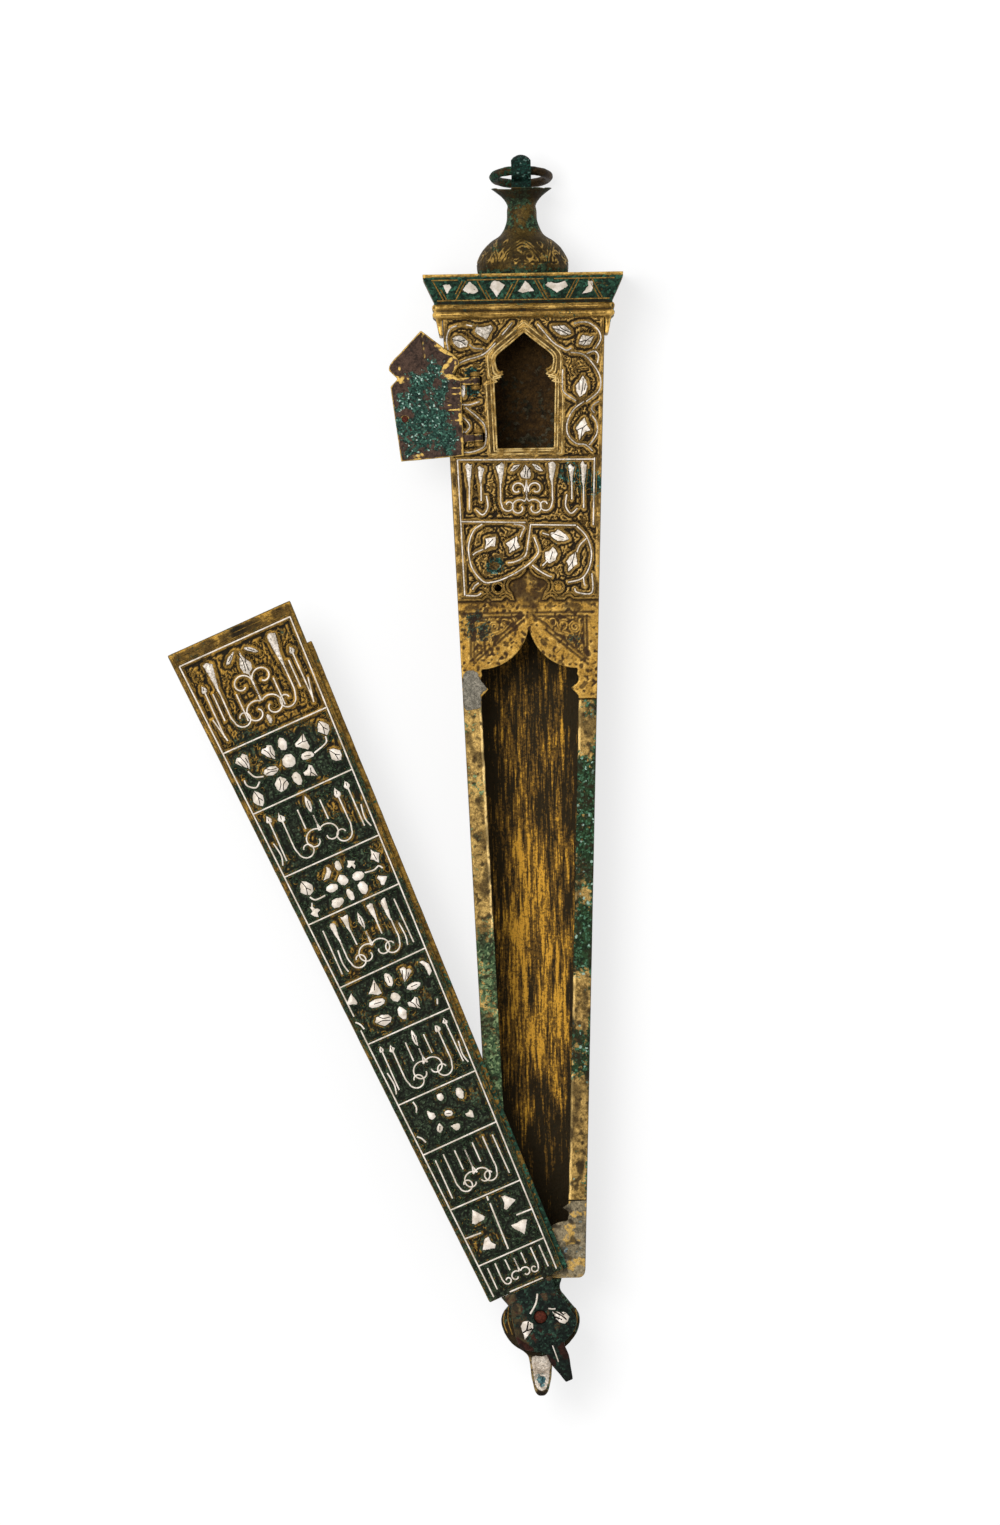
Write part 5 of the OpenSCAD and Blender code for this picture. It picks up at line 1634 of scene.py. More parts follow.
def makeCoverPlate(drawn):
    look = coverLook
    mesh = castNode("cover_plate", "coverPlateEngraved", look["voxel"], 2)
    co, out = pointsOf(mesh), normalsOf(mesh)
    flat = co[:, :2]
    up = (out[:, 2] > 0.8) & (co[:, 2] > coverTop - 0.4)
    field = tendrils(flat, 3.0, 2.6, 51)
    edge = sideOfMany(flat[:, 1]) - np.abs(flat[:, 0])
    reach = reachOf(flat, up, drawn) + 0.15 * cloud(co, 1.3, 54)
    band = 1 - ramp(reach, 0.5, 0.85)
    lobes = reachOf(flat, up, [lobedEdge()])
    rim = np.maximum(1 - ramp(lobes, 0.3, 0.55), 1 - ramp(reachOf(flat, up, [windowEdge(0.4)]), 0.6, 0.95))
    rim = np.maximum(rim, 1 - ramp(reachOf(flat, up, [windowEdge(1.75)]), 0.5, 0.85))
    rim = np.maximum(rim, 1 - ramp(edge, 0.9, 1.3))
    stand = np.maximum(band, rim)
    outline = (1 - ramp(np.abs(reach - 0.95), 0.1, 0.3)) * (1 - rim)
    ground = np.where(up, np.maximum((1 - stand) * ramp(field, 0.5, 0.78), outline), 0)
    ground *= 1 - 0.65 * (1 - ramp(lobes, 1.3, 1.9)) * (1 - outline)
    hole = np.hypot(np.abs(flat[:, 0]) - look["rivet"][0], flat[:, 1] - look["rivet"][1])
    ground = np.where(up, np.maximum(ground, 0.9 * (1 - ramp(np.abs(hole - 1.75), 0.1, 0.3))), 0)
    sink = 0.34 * ground + np.where(up, 0.08 * (1 - stand), 0)
    lostX, lostY = flat[:, 0] - look["lostLeaf"][0], flat[:, 1] - look["lostLeaf"][1]
    pit = blot(lostX, lostY * 1.4, 0.9, 1.9)
    sink = np.maximum(sink, np.where(up, 0.3 * pit, 0))
    sinkPoints(mesh, co, sink)
    showWear(mesh, 5.0, 1, 3.0)
    worn = 0.55 + 0.6 * cloud(co, 2.2, 53)
    brand(mesh, "ridge", np.where(up, np.clip((0.32 * band + 0.5 * rim + 0.18) * worn, 0, 1), 0))
    old = markOf(mesh, "grimeAndShade")
    brand(mesh, "grimeAndShade", np.clip(old + 0.85 * ground, 0, 0.92))
    patch = np.zeros(len(co))
    for x, y, size, amount in look["greenSpots"]:
        patch += amount * blot(flat[:, 0] - x, flat[:, 1] - y, size * 0.4, size)
    lost = np.hypot(lostX, lostY * 1.2)
    patch += 0.85 * ramp(lost, 0.9, 1.3) * (1 - ramp(lost, 1.9, 2.6))
    brand(mesh, "verdigris", np.clip(patch + 0.12 * cloud(co, 4, 52), 0, 1))
    seat("coverPlateEngraved", mesh, "coverBronze", "box", "dark_bronze", "cover_plate")


def makeCoverSilver():
    look = coverLook
    dice = random.Random(61)
    top = level(coverTop)
    low, high = look["panel"]
    edge = {y: sideOf(y) - look["sideLine"] for y in (41.2, low - 0.9, low, high)}

    lines = [straight((-edge[high], high), (edge[high], high - 0.35)),
             straight((-edge[low], low + 0.25), (-0.4, low - 0.2)),
             straight((-edge[high], high), (-edge[41.2], 41.0)),
             straight((edge[high], high), (edge[low], low - 1.0)),
             straight((0.7, low - 0.7), (11.0, low - 1.0))]
    frameLines = [part for line in lines for part in broken(line, dice, 0.97, 24)]
    vines = [curveThrough(v) for v in look["vines"]]
    loops = [curveThrough(v) for v in look["loops"]]
    wires = frameLines + [part for v in vines + loops for part in broken(v, dice, 0.95, 24)]
    mesh = hammerWire("coverSilverLines", lifted(wires, onBox, top, 0.06), "wornSilver", 0.33, 0.1, 0.5, 3.0)
    dull = 0.3 + 0.3 * cloud(pointsOf(mesh), 5, 60) + 0.22 * (pointsOf(mesh)[:, 1] > 72)
    brand(mesh, "tarnish", dull)
    seat("coverSilverLines", mesh, "wornSilver", "box", "silver", "cover_line_inlay")

    leaves = look["vineLeaves"] + look["loopLeaves"]
    leafCuts = [cutOutline(*leaf[:6], dice) for leaf in leaves]
    mesh = sheetPieces("coverSilverLeaves", leafCuts, onBox, top)
    brand(mesh, "tarnish", np.where(pointsOf(mesh)[:, 1] > 94, 0.62, 0.3))
    seat("coverSilverLeaves", mesh, "wornSilver", "box", "silver", "cover_leaf_inlay")

    cuts, strokes, veins = ornamentPanel(edge[low] - 0.3, low, high - low, coverPanel, dice)
    panel = sheetPieces("coverPanelCuts", cuts, onBox, top)
    brand(panel, "tarnish", np.full(len(panel.vertices), 0.42))
    seatInlay("coverSilverPanel", panel, strokes, onBox, coverTop, "box", "cover_panel_inlay", 0.34, 0.45,
              4.0)

    for leaf in leaves:
        veins += cutVeins(leaf[6], *leaf[1:6])
    seatWire("coverVeins", lifted(veins, onBox, top, 0.15), "darkVein", (0.2, 0.03, 0.3, 5.0), "box",
             "dark_bronze")

    drawn = strokes + vines + loops + lines + leafCuts + cuts
    ridges = (outlineRidges(leafCuts + cuts, dice, 0.34, 0.85)
              + strokeRidges(strokes + vines + loops, dice, 0.46, 0.88))
    ridges += strokeRidges(lines, dice, 0.5, 0.92)
    for inset in (0.45, 1.05):
        for side in (-1, 1):
            line = straight((side * (sideOf(40.2) - inset), 40.2), (side * (sideOf(103) - inset), 103.0))
            ridges += broken(line, dice, 0.94)
    spots = [(x * 2.05 + (k % 2), 41.0 + k * 1.9) for k in range(33) for x in range(-9, 9)
             if dice.random() < 0.45]
    ground = scrollGround(spots, lambda x, y: abs(x) < sideOf(y) - 2.1, drawn, dice)
    for name, skin, found, lift in (("coverGoldRidges", "rubbedRidgeAndSheen", ridges, -0.04),
                                    ("coverGroundScrolls", "groundScroll", ground, -0.1)):
        found = [line for line in found if clearOfWindow(line)]
        seatWire(name, lifted(found, onBox, top, lift), skin, (0.27, 0.16, 0.4, 6.0), "box", "bronze")

    rims = ([beside(lobedEdge(), 0.32)]
            + [arcLine((side * look["rivet"][0], look["rivet"][1]), 1.3, 0, 360) for side in (-1, 1)])
    inner = broken(beside(lobedEdge(), 1.0), dice, 0.8)
    inner = [[q for q in line if q[1] > 40.2 and abs(q[0]) > 0.4] for line in inner]
    rims += [line for line in inner if len(line) > 3]
    seatWire("lobedRim", lifted(rims, onBox, top, -0.03), "rubbedRidgeAndSheen", (0.42, 0.13, 0.35, 18.0), "box",
             "bronze")
    return drawn


def clearOfWindow(line):
    # Keeps a line off the window, the hinge slots, the lobed edge and the box's sides
    for x, y in line:
        if abs(x) < 9.0 and 73 < y < 96 or math.hypot(x, (y - 96) * 1.2) < 7.5:
            return False
        if abs(x) > sideOf(y) - 0.3 or y > 102.9 or y < 40.3:
            return False
        if abs(x) < 4.8 and y < 46.5 or abs(abs(x) - coverLook["rivet"][0]) < 1.3 and y < 44.2:
            return False
        if abs(x + 10.9) < 1.8 and min(abs(y - 89.25), abs(y - 76.45)) < 1.8:
            return False
    return True


def makeWindowFrame():
    # Two raised ridges round the window, a row of punched beads between, and rolled nib ends
    top = level(coverTop)
    lines = [line + line[:1] for line in (windowEdge(0.25), windowEdge(0.85), windowEdge(1.85))]
    mesh = hammerWire("windowFrame", lifted(lines, onBox, top, 0.0), "rubbedRidgeAndSheen", 0.42, 0.14, 0.4, 7.0)
    # Painted highlight: the frame's wires get a high wear mark, so the bright rubbed colour stands in for the
    # light on its ridges
    brand(mesh, "wearAndSheen", 0.6 + 0.5 * cloud(pointsOf(mesh), 2, 56))
    seat("windowFrame", mesh, "rubbedRidgeAndSheen", "box", "brass")
    middle = windowEdge(1.35)
    mesh = runAlong("windowBeads", beadTree, lifted([middle + middle[:1]], onBox, top, -0.2),
                    Spacing=0.62 * mm, Size=0.2 * mm, Seed=4, Finish=skins["rubbedRidgeAndSheen"])
    seat("windowBeads", mesh, "rubbedRidgeAndSheen", "box", "brass")
    s = windowLook["bottom"] + windowLook["shoulder"]
    nibs = [[(-6.4, s + 0.3), (-5.5, s + 0.0), (-4.9, s + 0.25)],
            [(6.9, s - 0.5), (5.6, s - 0.1), (4.85, s + 0.5)],
            [(6.3, s + 1.5), (5.7, s + 0.9), (4.85, s + 0.5)]]
    nibs = [curveThrough(nib, 0.2) for nib in nibs]
    seatWire("windowNibs", lifted(nibs, onBox, top, 0.0), "rubbedRidgeAndSheen", (0.5, 0.14, 0.35, 17.0), "box",
             "brass")


makeCoverPlate(makeCoverSilver())
makeWindowFrame()
print("cover engraved")


# Door of the ink compartment

doorLook = {
    "voxel": 0.17,
    "stem": ((0, 75.0), (0, 94.2)),
    "scrolls": [(3.1, 78.2, 2.4, 205, 1.35), (3.1, 84.2, 2.5, 205, 1.35), (2.5, 90.0, 2.0, 205, 1.3)],
    "leaves": [[(0, 97.4), (0.9, 96.0), (0.7, 94.8), (0, 94.2)], [(5.2, 80.6), (4.4, 81.2), (5.2, 81.8)],
               [(4.9, 86.8), (4.1, 87.4), (4.8, 88.0)]],
    "bareSpots": [(-5.0, 83.2, 1.5, 1.0, 2.2, 1.1), (2.6, 89.2, 1, 0.7, 1.5, 0.9),
                  (-5.2, 90, 1, 1.2, 2.6, 0.9)],
    "border": [(0, 73.2), (6.0, 73.2), (6.0, 90.4), (5.4, 92.4), (4.0, 94.8), (1.6, 97.6), (0, 99.2)],
}


def doorScrolls(middle):
    # Outer face of the door: a stem with leaves and paired scrolls, the same on both sides
    half = [spiral((spot, y), size, start, turns) for spot, y, size, start, turns in doorLook["scrolls"]]
    half += [curveThrough(line, 0.25) for line in doorLook["leaves"]]
    half += [straight(a, b) for a, b in zip(doorLook["border"], doorLook["border"][1:])]
    lines = [straight(*doorLook["stem"])] + half + [mirrored(line) for line in half]
    return [[(middle + x, y) for x, y in line] for line in lines]


def makeDoor():
    mesh = castNode("ink_door", "inkDoorPlate", doorLook["voxel"], 2)
    co, out = pointsOf(mesh), normalsOf(mesh)
    hingeX = joints["door_hinge"]["pos_m"][0] / mm
    middle = 2 * hingeX
    hingeY = joints["door_hinge"]["pos_m"][1] / mm
    way = joints["door_hinge"]["axis"]
    lean = 2 * math.atan2(-way[0], way[1])
    turned = (Matrix.Translation((hingeX, hingeY, 0)) @ Matrix.Rotation(-lean, 4, "Z")
              @ Matrix.Translation((-hingeX, -hingeY, 0)))
    flat = np.array([(turned @ Vector(q))[:2] for q in co.tolist()])
    scribe = nearPaths(flat, [straight((middle + 0.1, 101), (middle + 0.25, 95.5))])
    cut = np.where(out[:, 2] > 0.6, 1 - ramp(scribe, 0.06, 0.3), 0)
    below = out[:, 2] < -0.6
    carved = nearPaths(flat, doorScrolls(middle)) + 0.08 * cloud(co, 0.8, 71)
    field = 1 - ramp(carved, 0.22, 0.62)
    sink = np.where(below, -(1 - field) * 0.1, cut * 0.1)
    sinkPoints(mesh, co, sink)
    dent(mesh, 2.4, 0.05, 72)
    showWear(mesh, 9.0, 3, 3.0)
    x, y = flat[:, 0] - middle, flat[:, 1]
    bend = 1.4 * cloud(co, 4.5, 69)
    box = ramp(y + bend, 73.2, 76) * (1 - ramp(y + 0.1 * (x - 1) ** 2 + bend, 92.0, 97.0))
    box *= ramp(x + bend, -8.2, -5.2) * (1 - ramp(x - 0.12 * (84 - y) + bend, 3.0, 6.6))
    bare = sum(amount * blot(x - px, (y - py) * tall, inner, outer)
               for px, py, tall, inner, outer, amount in doorLook["bareSpots"])
    green = (0.95 * box - 0.12 - 0.8 * bare
             + (0.3 * cloud(co, 3.2, 73) + 0.4 * cloud(co, 0.9, 78)) * ramp(box, 0.02, 0.3))
    brand(mesh, "verdigris", np.clip(np.where(below, 0.2, green), 0, 0.92))
    old = markOf(mesh, "wearAndSheen")
    scratch = (ramp(cloud(co * (0.45, 3.0, 1), 2.0, 74), 0.12, 0.5) * ramp(x, 3.0, 5.6) * ramp(y, 78, 81)
               * (1 - ramp(y, 90, 92)))
    scratch += ramp(cloud(co, 2.2, 75), -0.05, 0.4) * blot((x + 2.4) * 0.6, y - 74.3, 0.9, 2.0)
    scratch += blot((x + 5.4) * 0.8, (y - 91.0) * 1.6, 0.9, 1.9)
    notch = [(middle + 2.9, 97.9), (middle + 6.6, 95.3), (middle + 3.6, 91.4), (middle + 6.4, 90.6)]
    scratch += 1.1 * (1 - ramp(nearPaths(flat, [notch]) + 0.25 * cloud(co, 0.8, 68), 0.2, 0.6))
    scratch += 0.9 * (1 - ramp(np.abs(x - 7.0), 0.1, 0.55)) * ramp(cloud(co, 3.5, 77), -0.5, 0.1)
    curved = nearPaths(flat, [arcLine((middle + 3.0, 77.2), 1.5, -60, 90)])
    scratch += 0.8 * (1 - ramp(np.abs(curved), 0.05, 0.3))
    scratch += 0.55 * (1 - ramp(scribe, 0.1, 0.28)) + 0.8 * blot((x + 5.6) * 2.2, y - 93.6, 0.4, 1.0)
    scratch *= 0.75 + 0.7 * cloud(co, 0.9, 79)
    brand(mesh, "wearAndSheen", np.clip(old + np.where(below, 0, scratch), 0, 1))
    brand(mesh, "ridge", np.where(below, ramp(field, 0.5, 0.95) * 0.8, 0))
    seat("inkDoorPlate", mesh, "doorBronze", "door", "door_bronze", "ink_door")

    mesh = castWorn("door_knob", "doorKnobRivet", 0.1, 3, 3.0, 2)
    seat("doorKnobRivet", mesh, "rustIron", "door", "iron", "door_knob")
    for node, skin, slot in (("hinge_eyes", "rubbedRidgeAndSheen", "brass"), ("hinge_pins", "rubbedRidgeAndSheen", "brass"),
                             ("cover_rivet", "archBrass", "bronze")):
        mesh = castWorn(node, node + "Forged", 0.08, 2, 3.0, 2, (0.8, 0.03, 76))
        seat(node + "Forged", mesh, skin, "box", slot, node)


makeDoor()
print("door made")


# Lid

lidLook = {
    "voxel": 0.32,
    "marks": [166.7, 144.8, 129.6, 113.8, 101.8, 86, 71.8, 56.5, 44, 30.2, 16.1, 8.4],
    "inset": 1.1,
    "sideLine": 1.4,
    "panels": {0: tallPanel, 2: budPanel, 4: spearPanel, 6: budPanel, 8: linePanel, 10: linePanel},
}
rosettes = {
    1: {"cuts": [("blob", 0, 0, 0, 3.2, 3.1, "none"), ("oval", 0.3, 4.1, 0, 3.1, 2.2, "none"),
                 ("oval", 0.1, -4.4, 8, 3.3, 2.2, "none"), ("oval", -4.5, -0.4, 84, 3.4, 2.2, "arcs"),
                 ("oval", 4.3, -0.6, 80, 3.2, 2.0, "one"), ("fan", -3.2, 3.4, 20, 3.8, 2.8, "arcs"),
                 ("kite", 4.6, 2.8, 150, 3.4, 3.6, "fork"), ("oval", -3.6, -4.1, -20, 3.4, 3.2, "arcs"),
                 ("kite", 3.6, -4.4, 30, 3.2, 2.8, "fork"), ("fan", -9.4, 3.8, 12, 3.9, 3.2, "bars"),
                 ("leaf", -9.7, -4.8, 4, 4.0, 2.6, "split"), ("leaf", 10.1, 3.6, 6, 3.6, 2.8, "split"),
                 ("leaf", 10.1, -3.0, 24, 3.6, 2.7, "split")],
        "stems": [[(-9.3, 1.7), (-8.4, -0.1), (-6.6, -0.8)],
                  [(-10.9, 0.2), (-10.8, -1.2), (-9.2, -2.4), (-7.9, -1.5)],
                  [(9.8, 1.7), (9.3, 0.3), (6.0, -0.7)]]},
    3: {"cuts": [("blob", 0, 0, 40, 2.7, 2.2, "none"), ("oval", 0.4, 3.4, 0, 2.4, 1.6, "none"),
                 ("oval", 0.2, -3.7, 12, 2.9, 1.7, "none"), ("oval", -2.9, -0.6, 86, 2.9, 2.2, "none"),
                 ("blob", 3.6, -0.5, 84, 2.9, 2.1, "none"), ("crescent", -2.6, 2.9, -10, 2.8, 2.3, "none"),
                 ("trefoil", 3.2, 2.5, 200, 2.5, 2.2, "none"), ("blob", -3.1, -4.1, 84, 2.9, 2.1, "none"),
                 ("blob", 3.5, -3.4, 0, 2.8, 2.3, "none"), ("leaf", -8.3, 1.7, 6, 3.9, 3.2, "split"),
                 ("trefoil", -8.6, -4.0, 6, 2.9, 2.2, "none"), ("rhomb", 8.8, 1.9, 8, 3.4, 2.5, "one"),
                 ("kite", 8.5, -3.5, 100, 2.4, 2.6, "none")],
        "stems": [[(-8.3, -0.4), (-7.4, -1.5), (-5.0, -1.5)], [(-8.4, -1.8), (-8.8, -2.7)],
                  [(5.2, -0.5), (7.3, -0.8), (8.7, -0.4), (9.3, -1.2)]]},
    5: {"cuts": [("blob", 0, 0, 30, 2.3, 2.0, "none"), ("oval", 0.2, 4.3, 0, 3.2, 1.9, "one"),
                 ("oval", -0.1, -3.9, 6, 3.2, 2.0, "none"), ("oval", -4.3, 0.5, 86, 3.8, 2.1, "one"),
                 ("oval", 4.8, 0.7, 92, 3.3, 1.8, "one"), ("wedge", -3.4, 4.1, 160, 3.5, 3.0, "one"),
                 ("fan", 4.0, 3.8, -30, 3.4, 2.6, "bars"), ("oval", -4.6, -3.5, 80, 3.8, 2.8, "arcs"),
                 ("kite", 3.4, -3.3, 20, 3.2, 2.9, "arcs"), ("kite", -9.2, 3.7, 160, 3.0, 2.7, "none"),
                 ("crescent", 8.8, 3.4, 30, 3.8, 2.3, "none")],
        "stems": [[(-10.6, -1.4), (-9.8, -2.3), (-9.4, -3.6)], [(8.4, -4.1), (7.9, -5.3)]]},
    7: {"cuts": [("blob", -0.1, 4.1, 0, 1.8, 1.6, "none"), ("oval", 4.2, 3.0, 0, 2.7, 1.8, "none"),
                 ("drop", -3.8, 1.4, 20, 2.6, 1.6, "none"), ("oval", 0, 0, 70, 2.0, 1.6, "one"),
                 ("kite", 4.5, -2.4, 20, 2.0, 1.8, "none"), ("leaf", -3.1, -2.2, -20, 2.2, 1.6, "one"),
                 ("drop", 0.2, -3.4, 60, 2.2, 1.7, "none")],
        "stems": [[(-6.2, 5.6), (-6.0, 4.2), (-6.5, 3.1)], [(-8.6, -1.9), (-7.8, -2.7), (-7.3, -3.9)]]},
}
triangleLook = {
    "mid": 23.5,
    "cuts": [("kite", -3.9, 3.0, 186, 3.2, 3.6), ("kite", 4.2, 3.2, 80, 3.0, 3.2),
             ("kite", -4.3, -4.0, -70, 3.2, 3.2), ("kite", 4.3, -3.4, 6, 3.2, 3.8)],
    "lines": [((0.2, 6.2), (0.1, 5.2)), ((0.2, 4.5), (-0.3, -6.6)), ((-8.4, -0.5), (-4.4, -0.8)),
              ((4.5, -0.4), (8.4, -0.6))],
}


def lidSide(r):
    return sideOf(pivotY + r) - lidLook["inset"]


def lidSkin(co):
    # Brown with gold at the lid's far end, green-black with golden patches below, in the closed lid's own
    # place
    r = co[:, 1]
    far = np.clip(ramp(r, 140, 149) + 0.35 * cloud(co, 9, 83), 0, 1)
    patch = ramp(cloud(co, 4.5, 84), 0.05, 0.5)
    gold = far + (1 - far) * patch * (0.35 + 0.5 * ramp(r, 40, 130))
    green = (1.02 - 0.96 * far - 0.62 * patch * (0.45 + 0.55 * ramp(r, 35, 120)) * (1 - far)
             + 0.12 * cloud(co, 3, 85))
    return np.clip(green, 0, 1), np.clip(gold, 0, 1)


def paintLidWire(mesh):
    # Ridges on the lid take the colour of the ground they stand on
    co = pointsOf(mesh)
    back = np.array(lidToWorld.inverted())
    local = co @ back[:3, :3].T + back[:3, 3] / mm
    brand(mesh, "verdigris", lidSkin(local)[0] * 0.85)


def makeLidPlate(drawn):
    back = lidToWorld.inverted()
    mesh = castNode("lid_plate", "lidPlateEngraved", lidLook["voxel"], 2, back)
    co, out = pointsOf(mesh), normalsOf(mesh)
    flat = co[:, :2]
    r = flat[:, 1]
    up = (out[:, 2] > 0.8) & (co[:, 2] > lidTop - 0.4)
    field = tendrils(flat, 3.2, 2.5, 81)
    edge = sideOfMany(pivotY + r) - lidLook["inset"] - np.abs(flat[:, 0])
    rim = np.maximum(1 - ramp(edge, 0.8, 1.2), ramp(r, 166.6, 167.2))
    reach = reachOf(flat, up, drawn) + 0.15 * cloud(co, 1.3, 79)
    band = np.maximum(1 - ramp(reach, 0.5, 0.9), rim)
    outline = (1 - ramp(np.abs(reach - 0.95), 0.1, 0.35)) * (1 - rim)
    ground = np.where(up, np.maximum((1 - band) * ramp(field, 0.5, 0.78), outline), 0)
    sink = 0.32 * ground + np.where(up, 0.06 * (1 - band), 0)
    sinkPoints(mesh, co, sink)
    dent(mesh, 3.0, 0.04, 82)
    showWear(mesh, 6.0, 1, 3.0)
    green, gold = lidSkin(co)
    brand(mesh, "ridge", np.where(up, (0.35 * band + 0.25) * gold * (0.6 + 0.6 * cloud(co, 2.4, 80)), 0))
    green = np.where(edge < 1.2, green - 0.4 * ramp(r, 20, 90), green)
    brand(mesh, "verdigris", np.clip(np.where(up, green, 0.45), 0, 1))
    stain = 0.75 * blot((flat[:, 0] - 2) * 0.35, r - 168.6, 0.6, 1.8)
    old = markOf(mesh, "grimeAndShade")
    brand(mesh, "grimeAndShade", np.clip(old + np.where(up, np.maximum(stain, 0.7 * ground), 0), 0, 0.9))
    mesh.transform(lidToWorld)
    seat("lidPlateEngraved", mesh, "lidBronze", "lid", "dark_bronze", "lid_plate")

    for side, node in ((-1, "lid_left_runner"), (1, "lid_right_runner")):
        mesh = castWorn(node, node + "Strip", 0.3, 2, 4.0, 3, (2.5, 0.08, 86 + side))
        co = pointsOf(mesh)
        brand(mesh, "verdigris", np.clip(0.14 + 0.3 * cloud(co, 6, 88 + side) - 0.006 * co[:, 1], 0, 1))
        seat(node + "Strip", mesh, "collarBronze", "lid", "bronze", node)


def makeLidSilver():
    look = lidLook
    marks = look["marks"]
    dice = random.Random(91)
    top = level(lidTop)
    lineX = {r: lidSide(r) - look["sideLine"] for r in marks}
    first, last = marks[0], marks[-1]

    lines = []
    for side in (-1, 1):
        lines.append((straight((side * lineX[last], last), (side * lineX[first], first)), 0.88))
    for r in marks[:-1]:
        ends = (-0.05 * dice.random(), 0.12 * dice.random())
        lines.append((straight((-lineX[r] + ends[0], r), (lineX[r] - ends[1], r + dice.gauss(0, 0.15))),
                      0.96))
    lines.append((straight((-4.0, 7.95), (4.1, 7.8)), 1.0))
    solid = [line for line, keep in lines]
    wires = [part for line, keep in lines for part in broken(line, dice, keep, 26)]
    seatWire("lidSilverLines", lifted(wires, onLid, top, 0.06), "wornSilver", (0.36, 0.1, 0.45, 8.0), "lid",
             "silver", "lid_line_inlay")

    cuts, stems, veins = [], [], []
    for k, plan in rosettes.items():
        mid = (marks[k] + marks[k + 1]) / 2
        for kind, x, y, turn, length, width, vein in plan["cuts"]:
            cuts.append(cutOutline(kind, x, mid + y, turn, length, width, dice, 0.06))
            veins += cutVeins(vein, x, mid + y, turn, length, width)
        stems += [curveThrough([(x, mid + y) for x, y in stem], 0.25) for stem in plan["stems"]]
    flat = sheetPieces("rosetteCuts", cuts, onLid, top)
    seatInlay("lidSilverRosettes", flat, stems, onLid, lidTop, "lid", "lid_rosette_inlay", 0.4, 0.3, 9.0)

    panelCuts, strokes = [], []
    for k, plan in look["panels"].items():
        low, high = marks[k + 1], marks[k]
        found = ornamentPanel(lidSide(low) - look["sideLine"] - 0.2, low, high - low, plan, dice)
        panelCuts += found[0]
        strokes += found[1]
        veins += found[2]
    flat = sheetPieces("panelCuts", panelCuts, onLid, top)
    spots = np.array([lidToWorld.inverted() @ v.co for v in flat.vertices]) / mm
    brand(flat, "tarnish", 0.1 + 0.35 * ramp(spots[:, 1], 142, 147))
    seatInlay("lidSilverPanels", flat, strokes, onLid, lidTop, "lid", "lid_panel_inlay", 0.36, 0.45, 10.0)

    mid = triangleLook["mid"]
    threeCorners = [cutOutline(kind, x, mid + y, turn, length, width, dice, 0.09)
                    for kind, x, y, turn, length, width in triangleLook["cuts"]]
    flat = sheetPieces("triangleCuts", threeCorners, onLid, top)
    bars = [straight((a[0], mid + a[1]), (b[0], mid + b[1]), 0.3) for a, b in triangleLook["lines"]]
    seatInlay("lidSilverTriangles", flat, bars, onLid, lidTop, "lid", "lid_triangle_inlay", 0.4, 0.3, 11.0)

    seatWire("lidVeins", lifted(veins, onLid, top, 0.15), "darkVein", (0.2, 0.03, 0.3, 12.0), "lid",
             "dark_bronze")

    ridges = (outlineRidges(cuts + panelCuts, dice, 0.32, 0.62)
              + strokeRidges(strokes + stems, dice, 0.46, 0.72))
    ridges += strokeRidges(solid, dice, 0.48, 0.8)
    for inset in (0.35, 0.8):
        for side in (-1, 1):
            line = straight((side * (lidSide(last) - inset), last), (side * (lidSide(169) - inset), 169))
            ridges += broken(line, dice, 0.9, 20)
    for r in (167.5, 168.6):
        ridges += broken(straight((-lidSide(r) + 1.2, r), (lidSide(r) - 1.2, r)), dice, 0.85)
    drawn = cuts + panelCuts + strokes + stems + solid + threeCorners + bars
    spots = [(x * 2.1 + (k % 2), 10 + k * 2.0) for k in range(78) for x in range(-8, 9)]
    spots = [q for q in spots if dice.random() < (0.5 if q[1] > 126 else 0.35)]
    ground = scrollGround(spots, lambda x, r: abs(x) < lidSide(r) - look["sideLine"] - 0.5, drawn, dice)
    for name, lines in (("lidGoldRidges", ridges), ("lidGroundScrolls", ground)):
        lift = -0.05 if lines is ridges else -0.1
        mesh = hammerWire(name, lifted(lines, onLid, top, lift), "lidRidge", 0.27, 0.14, 0.4, 13.0)
        paintLidWire(mesh)
        seat(name, mesh, "lidRidge", "lid", "bronze")
    return drawn


makeLidPlate(makeLidSilver())
print("lid inlaid")


# Bird heads

birdLook = {
    "voxel": 0.16,
    "eyes": [(-4.0, -1.4, 143, 4.1, 3.0, "fork"), (4.0, -1.6, 35, 4.3, 2.7, "bars")],
    "rust": [[(-7.7, -3.2), (-5.2, -7.2), (-2.4, -10.4)], [(1.9, -8.6), (2.2, -10.6)]],
    "beakSheet": [(0, -9.0), (2.05, -9.2), (1.85, -12.6), (1.25, -15.8), (0, -16.8), (-1.25, -15.8),
                  (-1.85, -12.6), (-2.05, -9.2)],
    "neckStroke": [(1.5, 5.0), (0.3, 3.2), (-1.8, 1.6)],
    "browStroke": [(2.4, 1.0), (3.2, 0.5), (3.8, 0.3)],
    "billLine": [(-0.2, -7.0), (-0.35, -9.0), (-0.5, -10.9)],
    "feathers": [[(-7.9, 1.6), (-8.3, -1.0), (-7.5, -3.6)], [(-7.0, 2.6), (-7.3, -0.6), (-6.4, -4.0)],
                 [(-6.1, 3.2), (-6.3, -0.4), (-5.4, -4.6)], [(7.9, 1.6), (8.2, -1.0), (7.4, -3.6)]],
}


def atPivot(x, r, z):
    return Vector((x * mm, (pivotY + r) * mm, z * mm))


